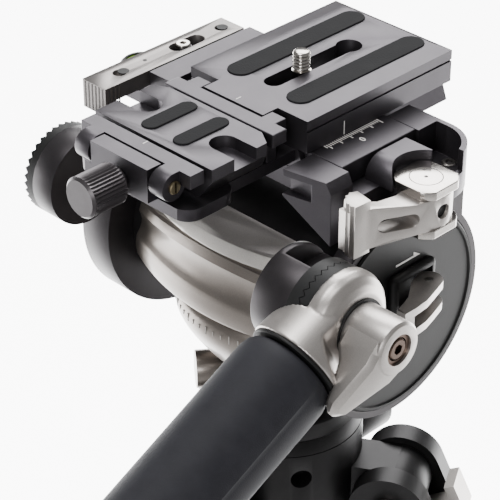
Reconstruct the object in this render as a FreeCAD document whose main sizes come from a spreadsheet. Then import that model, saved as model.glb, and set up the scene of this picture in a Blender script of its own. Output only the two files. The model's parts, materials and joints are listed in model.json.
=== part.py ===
"""Photo and video tripod with a fluid head, as one parametric document of separate pieces.

Lengths are millimetres. While the pieces are drawn, the pan axis is x = 0, y = 0 and height 0 is
the seat of the head on the tripod; X runs along the tilt axis, +Y is the front of the camera
plate and +Z is up. At the end every piece is moved so that the origin is at the middle of the
object's footprint, on the ground.
"""
import FreeCAD, Part
import math
import os
import re
import Sketcher

Vector = FreeCAD.Vector

SIZES = {
    # clearances
    "run_gap": 0.3,
    "pin_gap": 0.05,
    "slide_gap": 0.2,
    # tripod crown, its lugs and the pivot bolts of the legs
    "crown_radius": 30,
    "crown_tall": 42,
    "plate_step": 5,
    "socket_radius": 4,
    "socket_deep": 8,
    "socket_drop": 15.5,
    "socket_azimuth": -33,
    "leg_azimuth": 30,
    "pivot_reach": 44.5,
    "pivot_drop": 32,
    "lug_wide": 18,
    "lug_radius": 12,
    "bolt_radius": 4,
    "bolt_head_radius": 7,
    "bolt_head_tall": 3,
    # centre column, its lock and its hook
    "column_radius": 14,
    "column_wall": 3,
    "column_long": 225,
    "column_top_radius": 27.5,
    "column_knob_radius": 11,
    "column_knob_long": 17,
    "column_knob_drop": 27,
    "hook_radius": 9,
    "hook_wire": 2.2,
    "hook_cap": 6,
    # legs, measured along the leg from its pivot
    "leg_spread": 23,
    "ear_radius": 15,
    "ear_thick": 8.7,
    "bridge_start": 15.6,
    "bridge_thick": 8,
    "holder_radius": 19,
    "holder_end": 60,
    "upper_radius": 16,
    "upper_wall": 1.5,
    "upper_end": 470,
    "middle_radius": 14.1,
    "middle_wall": 1.5,
    "middle_end": 518,
    "lower_radius": 12.2,
    "lower_end": 556,
    "lock_radius": 20,
    "lock_start": 455,
    "lock_end": 500,
    "low_lock_radius": 18,
    "low_lock_start": 503,
    "low_lock_end": 540,
    "foot_radius": 17,
    "foot_start": 543,
    "foot_centre": 558,
    "stop_wide": 12,
    "stop_thick": 4,
    "stop_reach": 24,
    "stop_tall": 14,
    # base of the head and the pan lock
    "base_radius": 28.5,
    "base_tall": 23.6,
    "base_step": 8.3,
    "base_neck_radius": 22,
    "spindle_radius": 10,
    "spindle_top": 29.5,
    "pan_knob_radius": 7.2,
    "pan_knob_start": 22.8,
    "pan_knob_end": 33.2,
    "pan_knob_height": 16.2,
    "pan_knob_azimuth": 231.5,
    "knob_shaft_radius": 3,
    # housing, cover and drum, about the tilt axis
    "tilt_height": 65.5,
    "barrel_radius": 42,
    "barrel_end_radius": 31.6,
    "barrel_half": 45,
    "bowl_foot": 24,
    "bowl_foot_radius": 24.5,
    "bowl_waist": 45,
    "bowl_waist_radius": 39.8,
    "bowl_top": 60,
    "bowl_top_radius": 41.6,
    "barrel_low": 52,
    "cover_low": 83.9,
    "cover_high": 88,
    "drum_radius": 28.5,
    "groove_radius": 6,
    "groove_height": 73.7,
    "screw_head_radius": 2.8,
    "screw_reach": 26,
    # cheeks, discs and rosettes
    "disc_radius": 40.5,
    "cheek_inner": 47,
    "cheek_outer": 55,
    "left_inner": 50,
    "left_outer": 64,
    "neck_back": 31,
    "neck_front": -18,
    "neck_top": 108.5,
    "cover_radius": 37.8,
    "cover_thick": 1,
    "rosette_y": -48,
    "rosette_height": 94,
    "rosette_radius": 17,
    "boss_inner": 51,
    "boss_outer": 61,
    "ring_end": 65.2,
    "ring_tooth": 0.8,
    "ring_bore": 5.5,
    # platform and its clamp
    "platform_back": 31,
    "platform_front": -19,
    "floor_top": 116.7,
    "rail_top": 124.6,
    "platform_left": 49.2,
    "left_top": 127,
    "left_step": 38.6,
    "right_wall": 63.5,
    "arm_inner": 28.6,
    "back_arm_front": 19.6,
    "front_arm_back": -17.3,
    "front_arm_end": -31.6,
    "front_arm_outer": 47,
    "wall_round": 16,
    "corner_inner": 43,
    "corner_thick": 2.1,
    "corner_floor": 113,
    "gusset_low": 101,
    "gusset_high": 114.5,
    "arm_slant": 4,
    "jaw_outer": 41.7,
    "cam_inner": 43,
    "cam_outer": 55,
    "cam_front": -7,
    "cam_back": 13,
    "cam_round": 7,
    "lever_x": 61,
    "lever_y": 3,
    "lever_low": 103,
    "lever_high": 121,
    "lever_radius": 9.2,
    "lever_cap": 3,
    "lever_cap_half": 9.25,
    "lever_cap_round": 10.8,
    "lever_room": 11.3,
    "lever_side": 49.5,
    # slide plate
    "plate_half": 27.75,
    "plate_rear": -19,
    "plate_front": 54,
    "plate_top": 137,
    "plate_low": 117,
    "dove_top": 124.9,
    "dove_neck": 23.5,
    "dove_foot": 26.5,
    "tongue_half": 14,
    "tongue_end": -26,
    "keel_half": 22.3,
    "keel_top": 124.5,
    "tab_low": 120.2,
    "keel_end": -73,
    "tab_half": 27,
    "tab_start": -50,
    "slot_half": 3.5,
    "slot_rear": -10,
    "slot_front": 27,
    "slot_eye": 31,
    "slot_eye_radius": 4.7,
    "slot_room": 7,
    "slot_room_top": 122.5,
    "pad_inner": 9.4,
    "pad_outer": 18.9,
    "pad_rear": -13,
    "pad_front": 52.5,
    "pad_deep": 1,
    "pad_proud": 0.5,
    "side_line": 132.7,
    "side_line_tall": 0.8,
    "side_line_deep": 0.6,
    # camera screw
    "screw_radius": 3.175,
    "screw_y": 7,
    "screw_tip": 6.8,
    "screw_collar": 3.4,
    "screw_head": 6,
    # clamp at the rear of the slide plate
    "bed_rear": -63,
    "bed_front": -34.5,
    "bed_left": 27.5,
    "bed_right": 28,
    "bed_lip": 4.5,
    "bed_foot": 22,
    "bed_corner": 6,
    "recess_inner": 13.3,
    "recess_front": -49.8,
    "recess_rear": -43,
    "recess_half": 5,
    "recess_y": -48,
    "recess_deep": 4.5,
    "bed_pad_inner": 4.2,
    "bed_pad_outer": 10.9,
    "bed_pad_rear": -59.5,
    "bed_pad_front": -36.5,
    "jaw_half": 26,
    "far_jaw_rear": -33.6,
    "far_jaw_front": -27,
    "prong_inner": 14.4,
    "prong_outer": 21,
    "prong_front": -22,
    "near_jaw_front": -64.5,
    "near_jaw_rear": -70.5,
    "jaw_thick": 5,
    "pin_y": -73,
    "pin_height": 132,
    "knuckle_radius": 5,
    "jaw_pin_radius": 1.8,
    "block_half": 13.5,
    "block_front": -71.5,
    "block_rear": -77.5,
    "clamp_knob_radius": 7.2,
    "clamp_knob_height": 128,
    "clamp_knob_front": -78.5,
    "clamp_knob_rear": -94.5,
    "clamp_screw_end": -52,
    # latch bar and level
    "latch_inner": 50,
    "latch_outer": 62,
    "latch_thick": 6,
    "latch_front": -34,
    "latch_back": 29,
    "latch_grip": 5,
    "latch_slot_half": 3,
    "latch_slot_front": -2,
    "latch_slot_back": 13.5,
    "shelf_front": -14,
    "level_x": 66.5,
    "level_y": -7,
    "level_radius": 7.7,
    "level_tall": 7,
    "level_seat": 113.8,
    # tilt lock on the right cover
    "lock_pin_x": 61.8,
    "lock_pin_y": 6.2,
    "lock_pin_radius": 1.6,
    "lock_boss_low": 66,
    "lock_boss_high": 86,
    "lock_boss_front": -15,
    "lock_boss_back": 9,
    "lock_boss_outer": 64.5,
    "prong_thick": 3,
    "high_prong": 76.5,
    "low_prong": 67.9,
    "fork_front": -15.5,
    "fork_outer": 70.5,
    "fork_round": 5,
    # pan handle
    "handle_drop": 26,
    "handle_x": 69,
    "yoke_radius": 17.5,
    "yoke_start": 69.3,
    "yoke_end": 79,
    "neck_radius": 16.8,
    "neck_end": 21,
    "seam_ring": 1.2,
    "bar_radius": 9,
    "bar_seat": 3,
    "grip_radius": 17.3,
    "grip_long": 198,
    "grip_round": 5,
    "wing_hub_radius": 9.5,
    "wing_end": 96,
    "wing_inner": 84,
    "wing_reach": 27.5,
    "wing_drop": 42,
    "wing_tip": 3.5,
}

doc = FreeCAD.newDocument("Tripod")
sheet = doc.addObject("Spreadsheet::Sheet", "size")
for row, (word, value) in enumerate(SIZES.items(), start=1):
    sheet.set(f"A{row}", word)
    sheet.set(f"B{row}", str(value))
    sheet.setAlias(f"B{row}", word)
doc.recompute()

nodes = {}
UP = Vector(0, 0, 1)
TURN = {
    "x": FreeCAD.Rotation(Vector(0, 1, 0), 90),
    "y": FreeCAD.Rotation(Vector(1, 0, 0), -90),
    "z": FreeCAD.Rotation(),
}


def tie(formula):
    """Write a formula of sheet words as a FreeCAD expression."""
    return re.sub(r"[a-z]+(_[a-z]+)+", lambda word: "size." + word.group(0), str(formula))


def size(word):
    """Read one cell of the sheet."""
    return float(sheet.get(word))


def place(item, at):
    """Bind the base of an item to three formulas."""
    for axis, formula in zip("xyz", at):
        item.setExpression(f"Placement.Base.{axis}", tie(formula))


def block(name, x, y, z):
    """Box between three pairs of formulas."""
    item = doc.addObject("Part::Box", name)
    for side, (low, high) in zip(("Length", "Width", "Height"), (x, y, z)):
        item.setExpression(side, tie(f"({high}) - ({low})"))
    place(item, (x[0], y[0], z[0]))
    return item


def rod(name, axis, radius, span, centre, end_radius=None):
    """Cylinder, or cone, along an axis between two formulas; centre is its place across it."""
    item = doc.addObject("Part::Cylinder" if end_radius is None else "Part::Cone", name)
    item.Placement = FreeCAD.Placement(Vector(), TURN[axis])
    if end_radius is None:
        item.setExpression("Radius", tie(radius))
    else:
        item.setExpression("Radius1", tie(radius))
        item.setExpression("Radius2", tie(end_radius))
    item.setExpression("Height", tie(f"({span[1]}) - ({span[0]})"))
    at = list(centre)
    at.insert("xyz".index(axis), span[0])
    place(item, at)
    return item


def fuse(name, *items):
    """Join items into one object."""
    item = doc.addObject("Part::MultiFuse", name)
    item.Shapes = list(items)
    item.Refine = True
    return item


def cut(name, base, *tools):
    """Take tools away from a base."""
    item = doc.addObject("Part::Cut", name)
    item.Base = base
    item.Tool = tools[0] if len(tools) == 1 else fuse(name + "_tools", *tools)
    item.Refine = True
    return item


def common(name, first, second):
    """Keep what two items share."""
    item = doc.addObject("Part::Common", name)
    item.Base = first
    item.Tool = second
    item.Refine = True
    return item


def sketch_outline(body, role, points):
    """Closed outline in a body's own plane, every corner bound to a pair of formulas."""
    sketch = body.newObject("Sketcher::SketchObject", body.Name + "_outline")
    plane = next(item for item in body.Origin.OriginFeatures if item.Role == role)
    sketch.AttachmentSupport = (plane, [""])
    sketch.MapMode = "FlatFace"
    count = len(points)
    turns = [2 * math.pi * index / count for index in range(count)]
    start = [Vector(50 * math.cos(turn), 50 * math.sin(turn), 0) for turn in turns]
    for index in range(count):
        sketch.addGeometry(Part.LineSegment(start[index], start[(index + 1) % count]), False)
    for index in range(count):
        sketch.addConstraint(Sketcher.Constraint("Coincident", index, 2, (index + 1) % count, 1))
    for index, corner in enumerate(points):
        for kind, formula, now in zip(("DistanceX", "DistanceY"), corner, start[index]):
            number = sketch.addConstraint(Sketcher.Constraint(kind, -1, 1, index, 1, now))
            sketch.setExpression(f"Constraints[{number}]", tie(formula))
    return sketch


def prism(name, axis, points, span):
    """Pad an outline along an axis; the outline is in (y, z), (x, z) or (x, y)."""
    body = doc.addObject("PartDesign::Body", name)
    role = {"x": "YZ_Plane", "y": "XZ_Plane", "z": "XY_Plane"}[axis]
    sketch = sketch_outline(body, role, points)
    pad = body.newObject("PartDesign::Pad", name + "_pad")
    pad.Profile = sketch
    pad.Reversed = axis == "y"
    pad.setExpression("Length", tie(f"({span[1]}) - ({span[0]})"))
    body.setExpression(f"Placement.Base.{axis}", tie(span[0]))
    return body


def turned(name, axis, points, height="0"):
    """Turn an outline about Z from (radius, z), or about X from (x, radius), at a height."""
    body = doc.addObject("PartDesign::Body", name)
    sketch = sketch_outline(body, "XZ_Plane", points)
    lathe = body.newObject("PartDesign::Revolution", name + "_turn")
    lathe.Profile = sketch
    lathe.ReferenceAxis = (sketch, ["V_Axis" if axis == "z" else "H_Axis"])
    body.setExpression("Placement.Base.z", tie(height))
    return body


def soften(name, base, radius, picks):
    """Round the edges of a base that picks() accepts."""
    doc.recompute()
    item = doc.addObject("Part::Fillet", name)
    item.Base = base
    edges = enumerate(base.Shape.Edges, start=1)
    item.Edges = [(number, radius, radius) for number, edge in edges if picks(edge)]
    return item


def upright(edge):
    """True for a straight edge along Z."""
    ends = [vertex.Point for vertex in edge.Vertexes]
    if len(ends) < 2 or edge.Curve.TypeId != "Part::GeomLine":
        return False
    return (ends[1] - ends[0]).cross(UP).Length < 0.001


def spun(item, azimuth):
    """Turn an item about the pan axis."""
    turning = doc.addObject("Part::Compound", item.Name + "_spun")
    turning.Links = [item]
    turning.Placement = FreeCAD.Placement(Vector(), FreeCAD.Rotation(UP, azimuth))
    return turning


def node(name, item):
    """Name an item as one piece of the object."""
    item.Label = name
    nodes[name] = item
    return item


LEGS = {
    "a": size("leg_azimuth"),
    "b": size("leg_azimuth") + 120,
    "c": size("leg_azimuth") + 240,
}


def build_crown():
    """Crown with three lugs, the column bore, the accessory socket and the pivot bolts."""
    top = "-plate_step - slide_gap"
    bottom = "-plate_step - slide_gap - crown_tall"
    hub = rod("crown_hub", "z", "crown_radius", (bottom, top), ("0", "0"))
    bore = rod("crown_bore", "z", "column_radius + run_gap", (bottom, top), ("0", "0"))
    lugs = []
    bolts = []
    for leg, azimuth in LEGS.items():
        web = block(f"lug_web_{leg}", ("column_radius + column_wall", "pivot_reach"),
                    ("-lug_wide / 2", "lug_wide / 2"),
                    ("-pivot_drop - lug_radius", "-pivot_drop + lug_radius"))
        eye = rod(f"lug_eye_{leg}", "y", "lug_radius", ("-lug_wide / 2", "lug_wide / 2"),
                  ("pivot_reach", "-pivot_drop"))
        hole = rod(f"lug_hole_{leg}", "y", "bolt_radius", ("-lug_wide", "lug_wide"),
                   ("pivot_reach", "-pivot_drop"))
        lugs.append(spun(cut(f"lug_{leg}", fuse(f"lug_solid_{leg}", web, eye), hole), azimuth))
        side = "lug_wide / 2 + run_gap + ear_thick + run_gap"
        shaft = rod(f"bolt_shaft_{leg}", "y", "bolt_radius", (f"-({side})", side),
                    ("pivot_reach", "-pivot_drop"))
        heads = [
            rod(f"bolt_head_{leg}", "y", "bolt_head_radius", (side, f"{side} + bolt_head_tall"),
                ("pivot_reach", "-pivot_drop")),
            rod(f"bolt_foot_{leg}", "y", "bolt_head_radius",
                (f"-({side}) - bolt_head_tall", f"-({side})"), ("pivot_reach", "-pivot_drop")),
        ]
        bolts.append(spun(fuse(f"bolt_{leg}", shaft, *heads), azimuth))
    socket = rod("socket_drill", "x", "socket_radius",
                 ("crown_radius - socket_deep", "crown_radius + socket_deep"),
                 ("0", "-socket_drop"))
    socket = spun(socket, size("socket_azimuth"))
    knob_hole = rod("crown_knob_hole", "y", "knob_shaft_radius + pin_gap",
                    ("column_radius", "crown_radius + 1"), ("0", "-column_knob_drop"))
    solid = fuse("crown_solid", hub, *lugs)
    node("apex", cut("apex_cut", solid, bore, socket, knob_hole))
    node("leg_pivot_bolts", fuse("bolts", *bolts))


def build_column():
    """Sliding column with its top plate, its hook and the knob that locks it."""
    bottom = "-plate_step - column_long"
    tube = rod("column_tube", "z", "column_radius", (bottom, "-plate_step"), ("0", "0"))
    plate = rod("column_plate", "z", "crown_radius", ("-plate_step", "0"), ("0", "0"),
                "column_top_radius")
    hollow = rod("column_hollow", "z", "column_radius - column_wall",
                 (bottom, "-plate_step"), ("0", "0"))
    node("centre_column", cut("column_cut", fuse("column_solid", tube, plate), hollow))
    cap = rod("hook_cap_disc", "z", "column_radius", (f"{bottom} - hook_cap", bottom), ("0", "0"))
    plug = rod("hook_plug", "z", "column_radius - column_wall", (bottom, f"{bottom} + hook_cap"),
               ("0", "0"))
    ring = doc.addObject("Part::Torus", "hook_ring")
    ring.Placement = FreeCAD.Placement(Vector(), TURN["y"])
    ring.setExpression("Radius1", tie("hook_radius"))
    ring.setExpression("Radius2", tie("hook_wire"))
    place(ring, ("0", "0", f"{bottom} - hook_cap - hook_radius"))
    node("ballast_hook", fuse("hook", cap, plug, ring))
    start = "crown_radius + run_gap"
    shaft = rod("column_knob_shaft", "y", "knob_shaft_radius",
                ("column_radius + 1", f"{start} + 3"), ("0", "-column_knob_drop"))
    grip = rod("column_knob_grip", "y", "column_knob_radius",
               (f"{start} + 3", f"{start} + 3 + column_knob_long"), ("0", "-column_knob_drop"))
    collar = rod("column_knob_collar", "y", "column_knob_radius / 2", (start, f"{start} + 3"),
                 ("0", "-column_knob_drop"))
    node("column_lock_knob", fuse("column_knob", shaft, collar, grip))


def tube(name, outer, wall, start, end):
    """Tube along a leg between two distances from its pivot."""
    wide = rod(name + "_outer", "z", outer, (f"-({end})", f"-({start})"), ("0", "0"))
    bore = rod(name + "_bore", "z", f"{outer} - ({wall})", (f"-({end})", f"-({start})"), ("0", "0"))
    return cut(name + "_tube", wide, bore)


def build_leg(leg, azimuth):
    """One leg: forked shoulder, angle stop, three tubes, two twist locks and a ball foot."""
    inner = "lug_wide / 2 + run_gap"
    outer = "lug_wide / 2 + run_gap + ear_thick"
    pieces = []
    for side, (low, high) in {"near": (inner, outer), "far": (f"-({outer})", f"-({inner})")}.items():
        eye = rod(f"ear_{side}_{leg}", "y", "ear_radius", (low, high), ("0", "0"))
        web = block(f"ear_web_{side}_{leg}", ("-ear_radius", "ear_radius"), (low, high),
                    ("-bridge_start - 1", "0"))
        pieces += [eye, web]
    bridge_end = "bridge_start + bridge_thick"
    bridge = block(f"bridge_{leg}", ("-ear_radius", "ear_radius"), (f"-({outer})", outer),
                   (f"-({bridge_end})", "-bridge_start"))
    holder = rod(f"holder_{leg}", "z", "holder_radius", ("-holder_end", f"-({bridge_end}) + 2"),
                 ("0", "0"))
    hole = rod(f"ear_hole_{leg}", "y", "bolt_radius + pin_gap", (f"-({outer}) - 1", f"{outer} + 1"),
               ("0", "0"))
    seat = rod(f"tube_seat_{leg}", "z", "upper_radius", ("-holder_end", f"-({bridge_end}) - 3"),
               ("0", "0"))
    solid = fuse(f"shoulder_solid_{leg}", bridge, holder, *pieces)
    shoulder = cut(f"shoulder_{leg}", solid, hole, seat)
    shelf = "-bridge_start + run_gap"
    stop = fuse(
        f"stop_{leg}",
        block(f"stop_slide_{leg}", ("8.5", "stop_reach"), ("-stop_wide / 2", "stop_wide / 2"),
              (shelf, f"{shelf} + stop_thick")),
        block(f"stop_pull_{leg}", ("stop_reach - stop_thick", "stop_reach"),
              ("-stop_wide / 2", "stop_wide / 2"), (shelf, f"{shelf} + stop_tall")))
    upper = tube(f"upper_{leg}", "upper_radius", "upper_wall", f"{bridge_end} + 3", "upper_end")
    middle = tube(f"middle_{leg}", "middle_radius", "middle_wall", "holder_end + 20", "middle_end")
    lower = cut(f"lower_{leg}",
                rod(f"lower_rod_{leg}", "z", "lower_radius", ("-lower_end", "-holder_end - 30"),
                    ("0", "0")),
                rod(f"lower_bore_{leg}", "z", "lower_radius - middle_wall",
                    ("-foot_start", "-holder_end - 29"), ("0", "0")))
    upper_lock = cut(
        f"upper_lock_{leg}",
        rod(f"upper_ring_{leg}", "z", "lock_radius", ("-lock_end", "-lock_start"), ("0", "0")),
        rod(f"upper_ring_bore_{leg}", "z", "upper_radius + run_gap",
            ("-upper_end - slide_gap", "-lock_start + 1"), ("0", "0")),
        rod(f"upper_ring_neck_{leg}", "z", "middle_radius + run_gap", ("-lock_end - 1", "-upper_end"),
            ("0", "0")))
    lower_lock = cut(
        f"lower_lock_{leg}",
        rod(f"lower_ring_{leg}", "z", "low_lock_radius", ("-low_lock_end", "-low_lock_start"),
            ("0", "0")),
        rod(f"lower_ring_bore_{leg}", "z", "middle_radius + run_gap",
            ("-middle_end - slide_gap", "-low_lock_start + 1"), ("0", "0")),
        rod(f"lower_ring_neck_{leg}", "z", "lower_radius + run_gap",
            ("-low_lock_end - 1", "-middle_end"), ("0", "0")))
    ball = doc.addObject("Part::Sphere", f"foot_ball_{leg}")
    ball.setExpression("Radius", tie("foot_radius"))
    place(ball, ("0", "0", "-foot_centre"))
    sleeve = rod(f"foot_sleeve_{leg}", "z", "foot_radius - 1", ("-foot_centre", "-foot_start"),
                 ("0", "0"))
    trim = block(f"foot_trim_{leg}", ("-foot_radius", "foot_radius"), ("-foot_radius", "foot_radius"),
                 ("-foot_start", "-foot_start + foot_radius"))
    foot = cut(f"foot_{leg}", fuse(f"foot_solid_{leg}", ball, sleeve), trim,
               rod(f"foot_seat_{leg}", "z", "lower_radius", ("-lower_end", "-foot_start + 1"),
                   ("0", "0")))
    swing = FreeCAD.Placement(Vector(size("pivot_reach"), 0, -size("pivot_drop")),
                              FreeCAD.Rotation(Vector(0, 1, 0), -size("leg_spread")))
    about = FreeCAD.Placement(Vector(), FreeCAD.Rotation(UP, azimuth))
    made = {"shoulder": shoulder, "angle_stop": stop, "upper_tube": upper, "upper_lock": upper_lock,
            "middle_tube": middle, "lower_lock": lower_lock, "lower_tube": lower,
            "rubber_foot": foot}
    for name, item in made.items():
        node(f"leg_{leg}_{name}", item).Placement = about * swing


def build_base():
    """Head base with its spindle, and the pan lock knob."""
    body = turned("base_turning", "z", [
        ("0", "0"), ("base_radius - 1", "0"), ("base_radius", "1"),
        ("base_radius", "base_step - 1"), ("base_radius - 1", "base_step"),
        ("base_neck_radius", "base_step"), ("base_neck_radius", "base_tall"),
        ("spindle_radius", "base_tall"), ("spindle_radius", "spindle_top"), ("0", "spindle_top")])
    bore = rod("pan_knob_bore", "x", "knob_shaft_radius + pin_gap",
               ("base_neck_radius - 6", "base_neck_radius + 1"), ("0", "pan_knob_height"))
    node("head_base", cut("base_cut", body, spun(bore, size("pan_knob_azimuth"))))
    shaft = rod("pan_knob_shaft", "x", "knob_shaft_radius",
                ("base_neck_radius - 5", "pan_knob_start"), ("0", "pan_knob_height"))
    grip = rod("pan_knob_grip", "x", "pan_knob_radius", ("pan_knob_start", "pan_knob_end"),
               ("0", "pan_knob_height"))
    node("pan_lock_knob", spun(fuse("pan_knob", shaft, grip), size("pan_knob_azimuth")))


def build_housing():
    """Housing with its bowl, the top cover, the cover screws and the drum inside."""
    crown = "(barrel_radius - barrel_end_radius)"
    half = [(f"barrel_half * {part}", f"barrel_radius - {crown} * {part * part:.2f}")
            for part in (0.2, 0.4, 0.6, 0.8, 1.0)]
    barrel_points = [("-barrel_half", "0")]
    barrel_points += [("-" + along, radius) for along, radius in reversed(half)]
    barrel_points += half + [("barrel_half", "0")]
    wide = ("-barrel_half - 1", "barrel_half + 1")
    deep = ("-barrel_radius - 5", "barrel_radius + 5")
    barrel = common("barrel_upper", turned("barrel", "x", barrel_points, "tilt_height"),
                    block("barrel_keep", wide, deep, ("barrel_low", "tilt_height + barrel_radius")))
    bowl = turned("bowl", "z", [
        ("0", "bowl_foot"), ("bowl_foot_radius", "bowl_foot"),
        ("bowl_foot_radius + 0.8", "bowl_foot + 2"), ("bowl_foot_radius + 8.4", "bowl_foot + 12"),
        ("bowl_waist_radius", "bowl_waist"), ("bowl_top_radius", "bowl_top"), ("0", "bowl_top")])
    room = rod("drum_room", "x", "drum_radius + run_gap + slide_gap", wide, ("0", "tilt_height"))
    above = block("above_housing", wide, deep, ("cover_low", "tilt_height + barrel_radius + 5"))
    grooves = [rod(f"groove_{side}", "x", "groove_radius", wide,
                   (f"{sign}(barrel_radius + groove_radius * 0.62)", "groove_height"))
               for side, sign in (("front", "-"), ("back", ""))]
    pocket = rod("spindle_pocket", "z", "spindle_radius + run_gap", ("bowl_foot", "spindle_top + 0.5"),
                 ("0", "0"))
    solid = fuse("housing_solid", barrel, bowl)
    node("body_housing", cut("housing_cut", solid, room, above, pocket, *grooves))
    shell = turned("cover_barrel", "x", barrel_points, "tilt_height")
    band = block("cover_band", wide, deep, ("cover_low", "cover_high"))
    cover_room = rod("cover_room", "x", "drum_radius + run_gap + slide_gap", wide,
                     ("0", "tilt_height"))
    spots = [(side_x, side_y) for side_x in ("-screw_reach", "screw_reach")
             for side_y in ("-barrel_radius + 17.5", "barrel_radius - 17.5")]
    holes = [rod(f"cover_hole_{index}", "z", "screw_head_radius", ("cover_high - 2", "cover_high + 1"),
                 spot) for index, spot in enumerate(spots)]
    cover = common("cover_raw", shell, band)
    node("body_cover", cut("cover_cut", cover, cover_room, *holes))
    screws = [rod(f"cover_screw_{index}", "z", "screw_head_radius - pin_gap",
                  ("cover_high - 2", "cover_high - 0.5"), spot) for index, spot in enumerate(spots)]
    node("cover_screws", fuse("cover_screw_set", *screws))
    node("tilt_drum", rod("drum_rod", "x", "drum_radius", ("-left_inner", "cheek_inner"),
                          ("0", "tilt_height")))


def lever_clearance(name):
    """Space kept free for the hub and the arm of the clamp lever."""
    hub = rod(f"{name}_hub_room", "z", "lever_room", ("lever_low - 0.5", "plate_top"),
              ("lever_x", "lever_y"))
    arm = block(f"{name}_arm_room", ("lever_side", "right_wall + 20"),
                ("front_arm_end - 20", "lever_y + lever_room"), ("lever_low - 0.5", "plate_top"))
    return fuse(f"{name}_lever_room", hub, arm)


def build_cheeks():
    """Right and left cheeks with their rosette bosses, the toothed rings and the right cover."""
    centre = ("0", "tilt_height")
    hinge = ("rosette_y", "rosette_height")
    disc = rod("right_disc", "x", "disc_radius", ("cheek_inner", "cheek_outer"), centre)
    neck = block("right_neck", ("cheek_inner", "cheek_outer"), ("neck_front", "neck_back"),
                 ("tilt_height", "neck_top"))
    boss = rod("right_boss", "x", "rosette_radius", ("boss_inner", "boss_outer"), hinge)
    shoulder = rod("right_shoulder", "x", "rosette_radius", ("cheek_inner", "boss_inner"), hinge)
    recess = rod("cover_recess", "x", "cover_radius", ("cheek_outer - cover_thick", "cheek_outer + 1"),
                 centre)
    bolt_hole = rod("right_bolt_hole", "x", "ring_bore", ("boss_outer - 6", "ring_end"), hinge)
    plain = cut("right_plain", fuse("right_flat", disc, neck), recess)
    raised = fuse("right_raised", plain, boss, shoulder)
    node("right_cheek", cut("right_cut", raised, lever_clearance("cheek"), bolt_hole))
    left_disc = rod("left_disc", "x", "disc_radius", ("-left_outer", "-left_inner"), centre)
    left_neck = block("left_neck", ("-left_outer + 6", "-left_inner"), ("neck_front", "neck_back"),
                      ("tilt_height", "neck_top"))
    left_boss = rod("left_boss", "x", "rosette_radius", ("-boss_outer", "-boss_inner"), hinge)
    left_hole = rod("left_bolt_hole", "x", "ring_bore", ("-ring_end", "-boss_outer + 6"), hinge)
    relief = rod("left_relief", "x", "rosette_radius + run_gap", ("-left_outer - 1", "-boss_outer"),
                 hinge)
    left = fuse("left_solid", cut("left_eased", left_disc, relief), left_neck, left_boss)
    node("left_cheek", cut("left_cut", left, left_hole))
    rings = []
    for side, (low, high) in {"right": ("boss_outer", "ring_end"),
                              "left": ("-ring_end", "-boss_outer")}.items():
        rings.append(cut(f"ring_{side}",
                         rod(f"ring_disc_{side}", "x", "rosette_radius", (low, high), hinge),
                         rod(f"ring_bore_{side}", "x", "ring_bore", (low, high), hinge)))
    node("head_rosettes", fuse("ring_set", *rings))
    cover = rod("cover_disc", "x", "cover_radius", ("cheek_outer - cover_thick", "cheek_outer"), centre)
    lock_boss = block("lock_boss_block", ("cheek_outer", "lock_boss_outer"),
                      ("lock_boss_front", "lock_boss_back"), ("lock_boss_low", "lock_boss_high"))
    slot = block("lock_pocket", ("lock_pin_x - fork_round - run_gap", "lock_boss_outer + 1"),
                 ("lock_boss_front + 6", "lock_boss_back + 1"),
                 ("lock_boss_low - 1", "high_prong + prong_thick + run_gap"))
    pin_hole = rod("lock_pin_hole", "z", "lock_pin_radius",
                   ("high_prong", "lock_boss_high - 2"), ("lock_pin_x", "lock_pin_y"))
    boss_gap = rod("cover_boss_gap", "x", "rosette_radius + slide_gap",
                   ("cheek_outer - cover_thick", "cheek_outer + 1"), hinge)
    rounded = soften("lock_boss_round", lock_boss, 4,
                     lambda edge: edge.CenterOfMass.x > size("lock_boss_outer") - 0.1
                     and abs(edge.CenterOfMass.z - (size("lock_boss_low") + size("lock_boss_high")) / 2) > 1)
    trimmed = cut("cover_trimmed", cover, boss_gap, block(
        "cover_lever_gap", ("cheek_outer - 5", "cheek_outer + 5"), ("-60", "lever_y + lever_room"),
        ("lever_low - 0.5", "plate_top")))
    node("right_cover", cut("cover_done", fuse("cover_boss", trimmed, rounded), slot, pin_hole))


def build_tilt_lock():
    """Forked tilt lock lever with its pin."""
    def prong(name, low):
        high = f"{low} + prong_thick"
        arm = prism(f"{name}_arm", "z", [
            ("lock_pin_x - fork_round", "lock_pin_y"), ("lock_pin_x + fork_round", "lock_pin_y"),
            ("fork_outer - 3", "lock_pin_y - 8"), ("fork_outer", "fork_front + 6"),
            ("fork_outer", "fork_front"), ("fork_outer - 4", "fork_front"),
            ("fork_outer - 5.5", "fork_front + 7"), ("lock_pin_x - 1.5", "lock_pin_y - 7")], (low, high))
        eye = rod(f"{name}_eye", "z", "fork_round", (low, high), ("lock_pin_x", "lock_pin_y"))
        return fuse(name, arm, eye)

    web = block("fork_web", ("fork_outer - 4", "fork_outer"), ("fork_front", "fork_front + 5"),
                ("low_prong", "high_prong + prong_thick"))
    pin = rod("fork_pin", "z", "lock_pin_radius - pin_gap",
              ("low_prong", "lock_boss_high - 2"), ("lock_pin_x", "lock_pin_y"))
    node("tilt_lock_lever", fuse("fork", prong("high_prong_part", "high_prong"),
                                 prong("low_prong_part", "low_prong"), web, pin))


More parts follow.
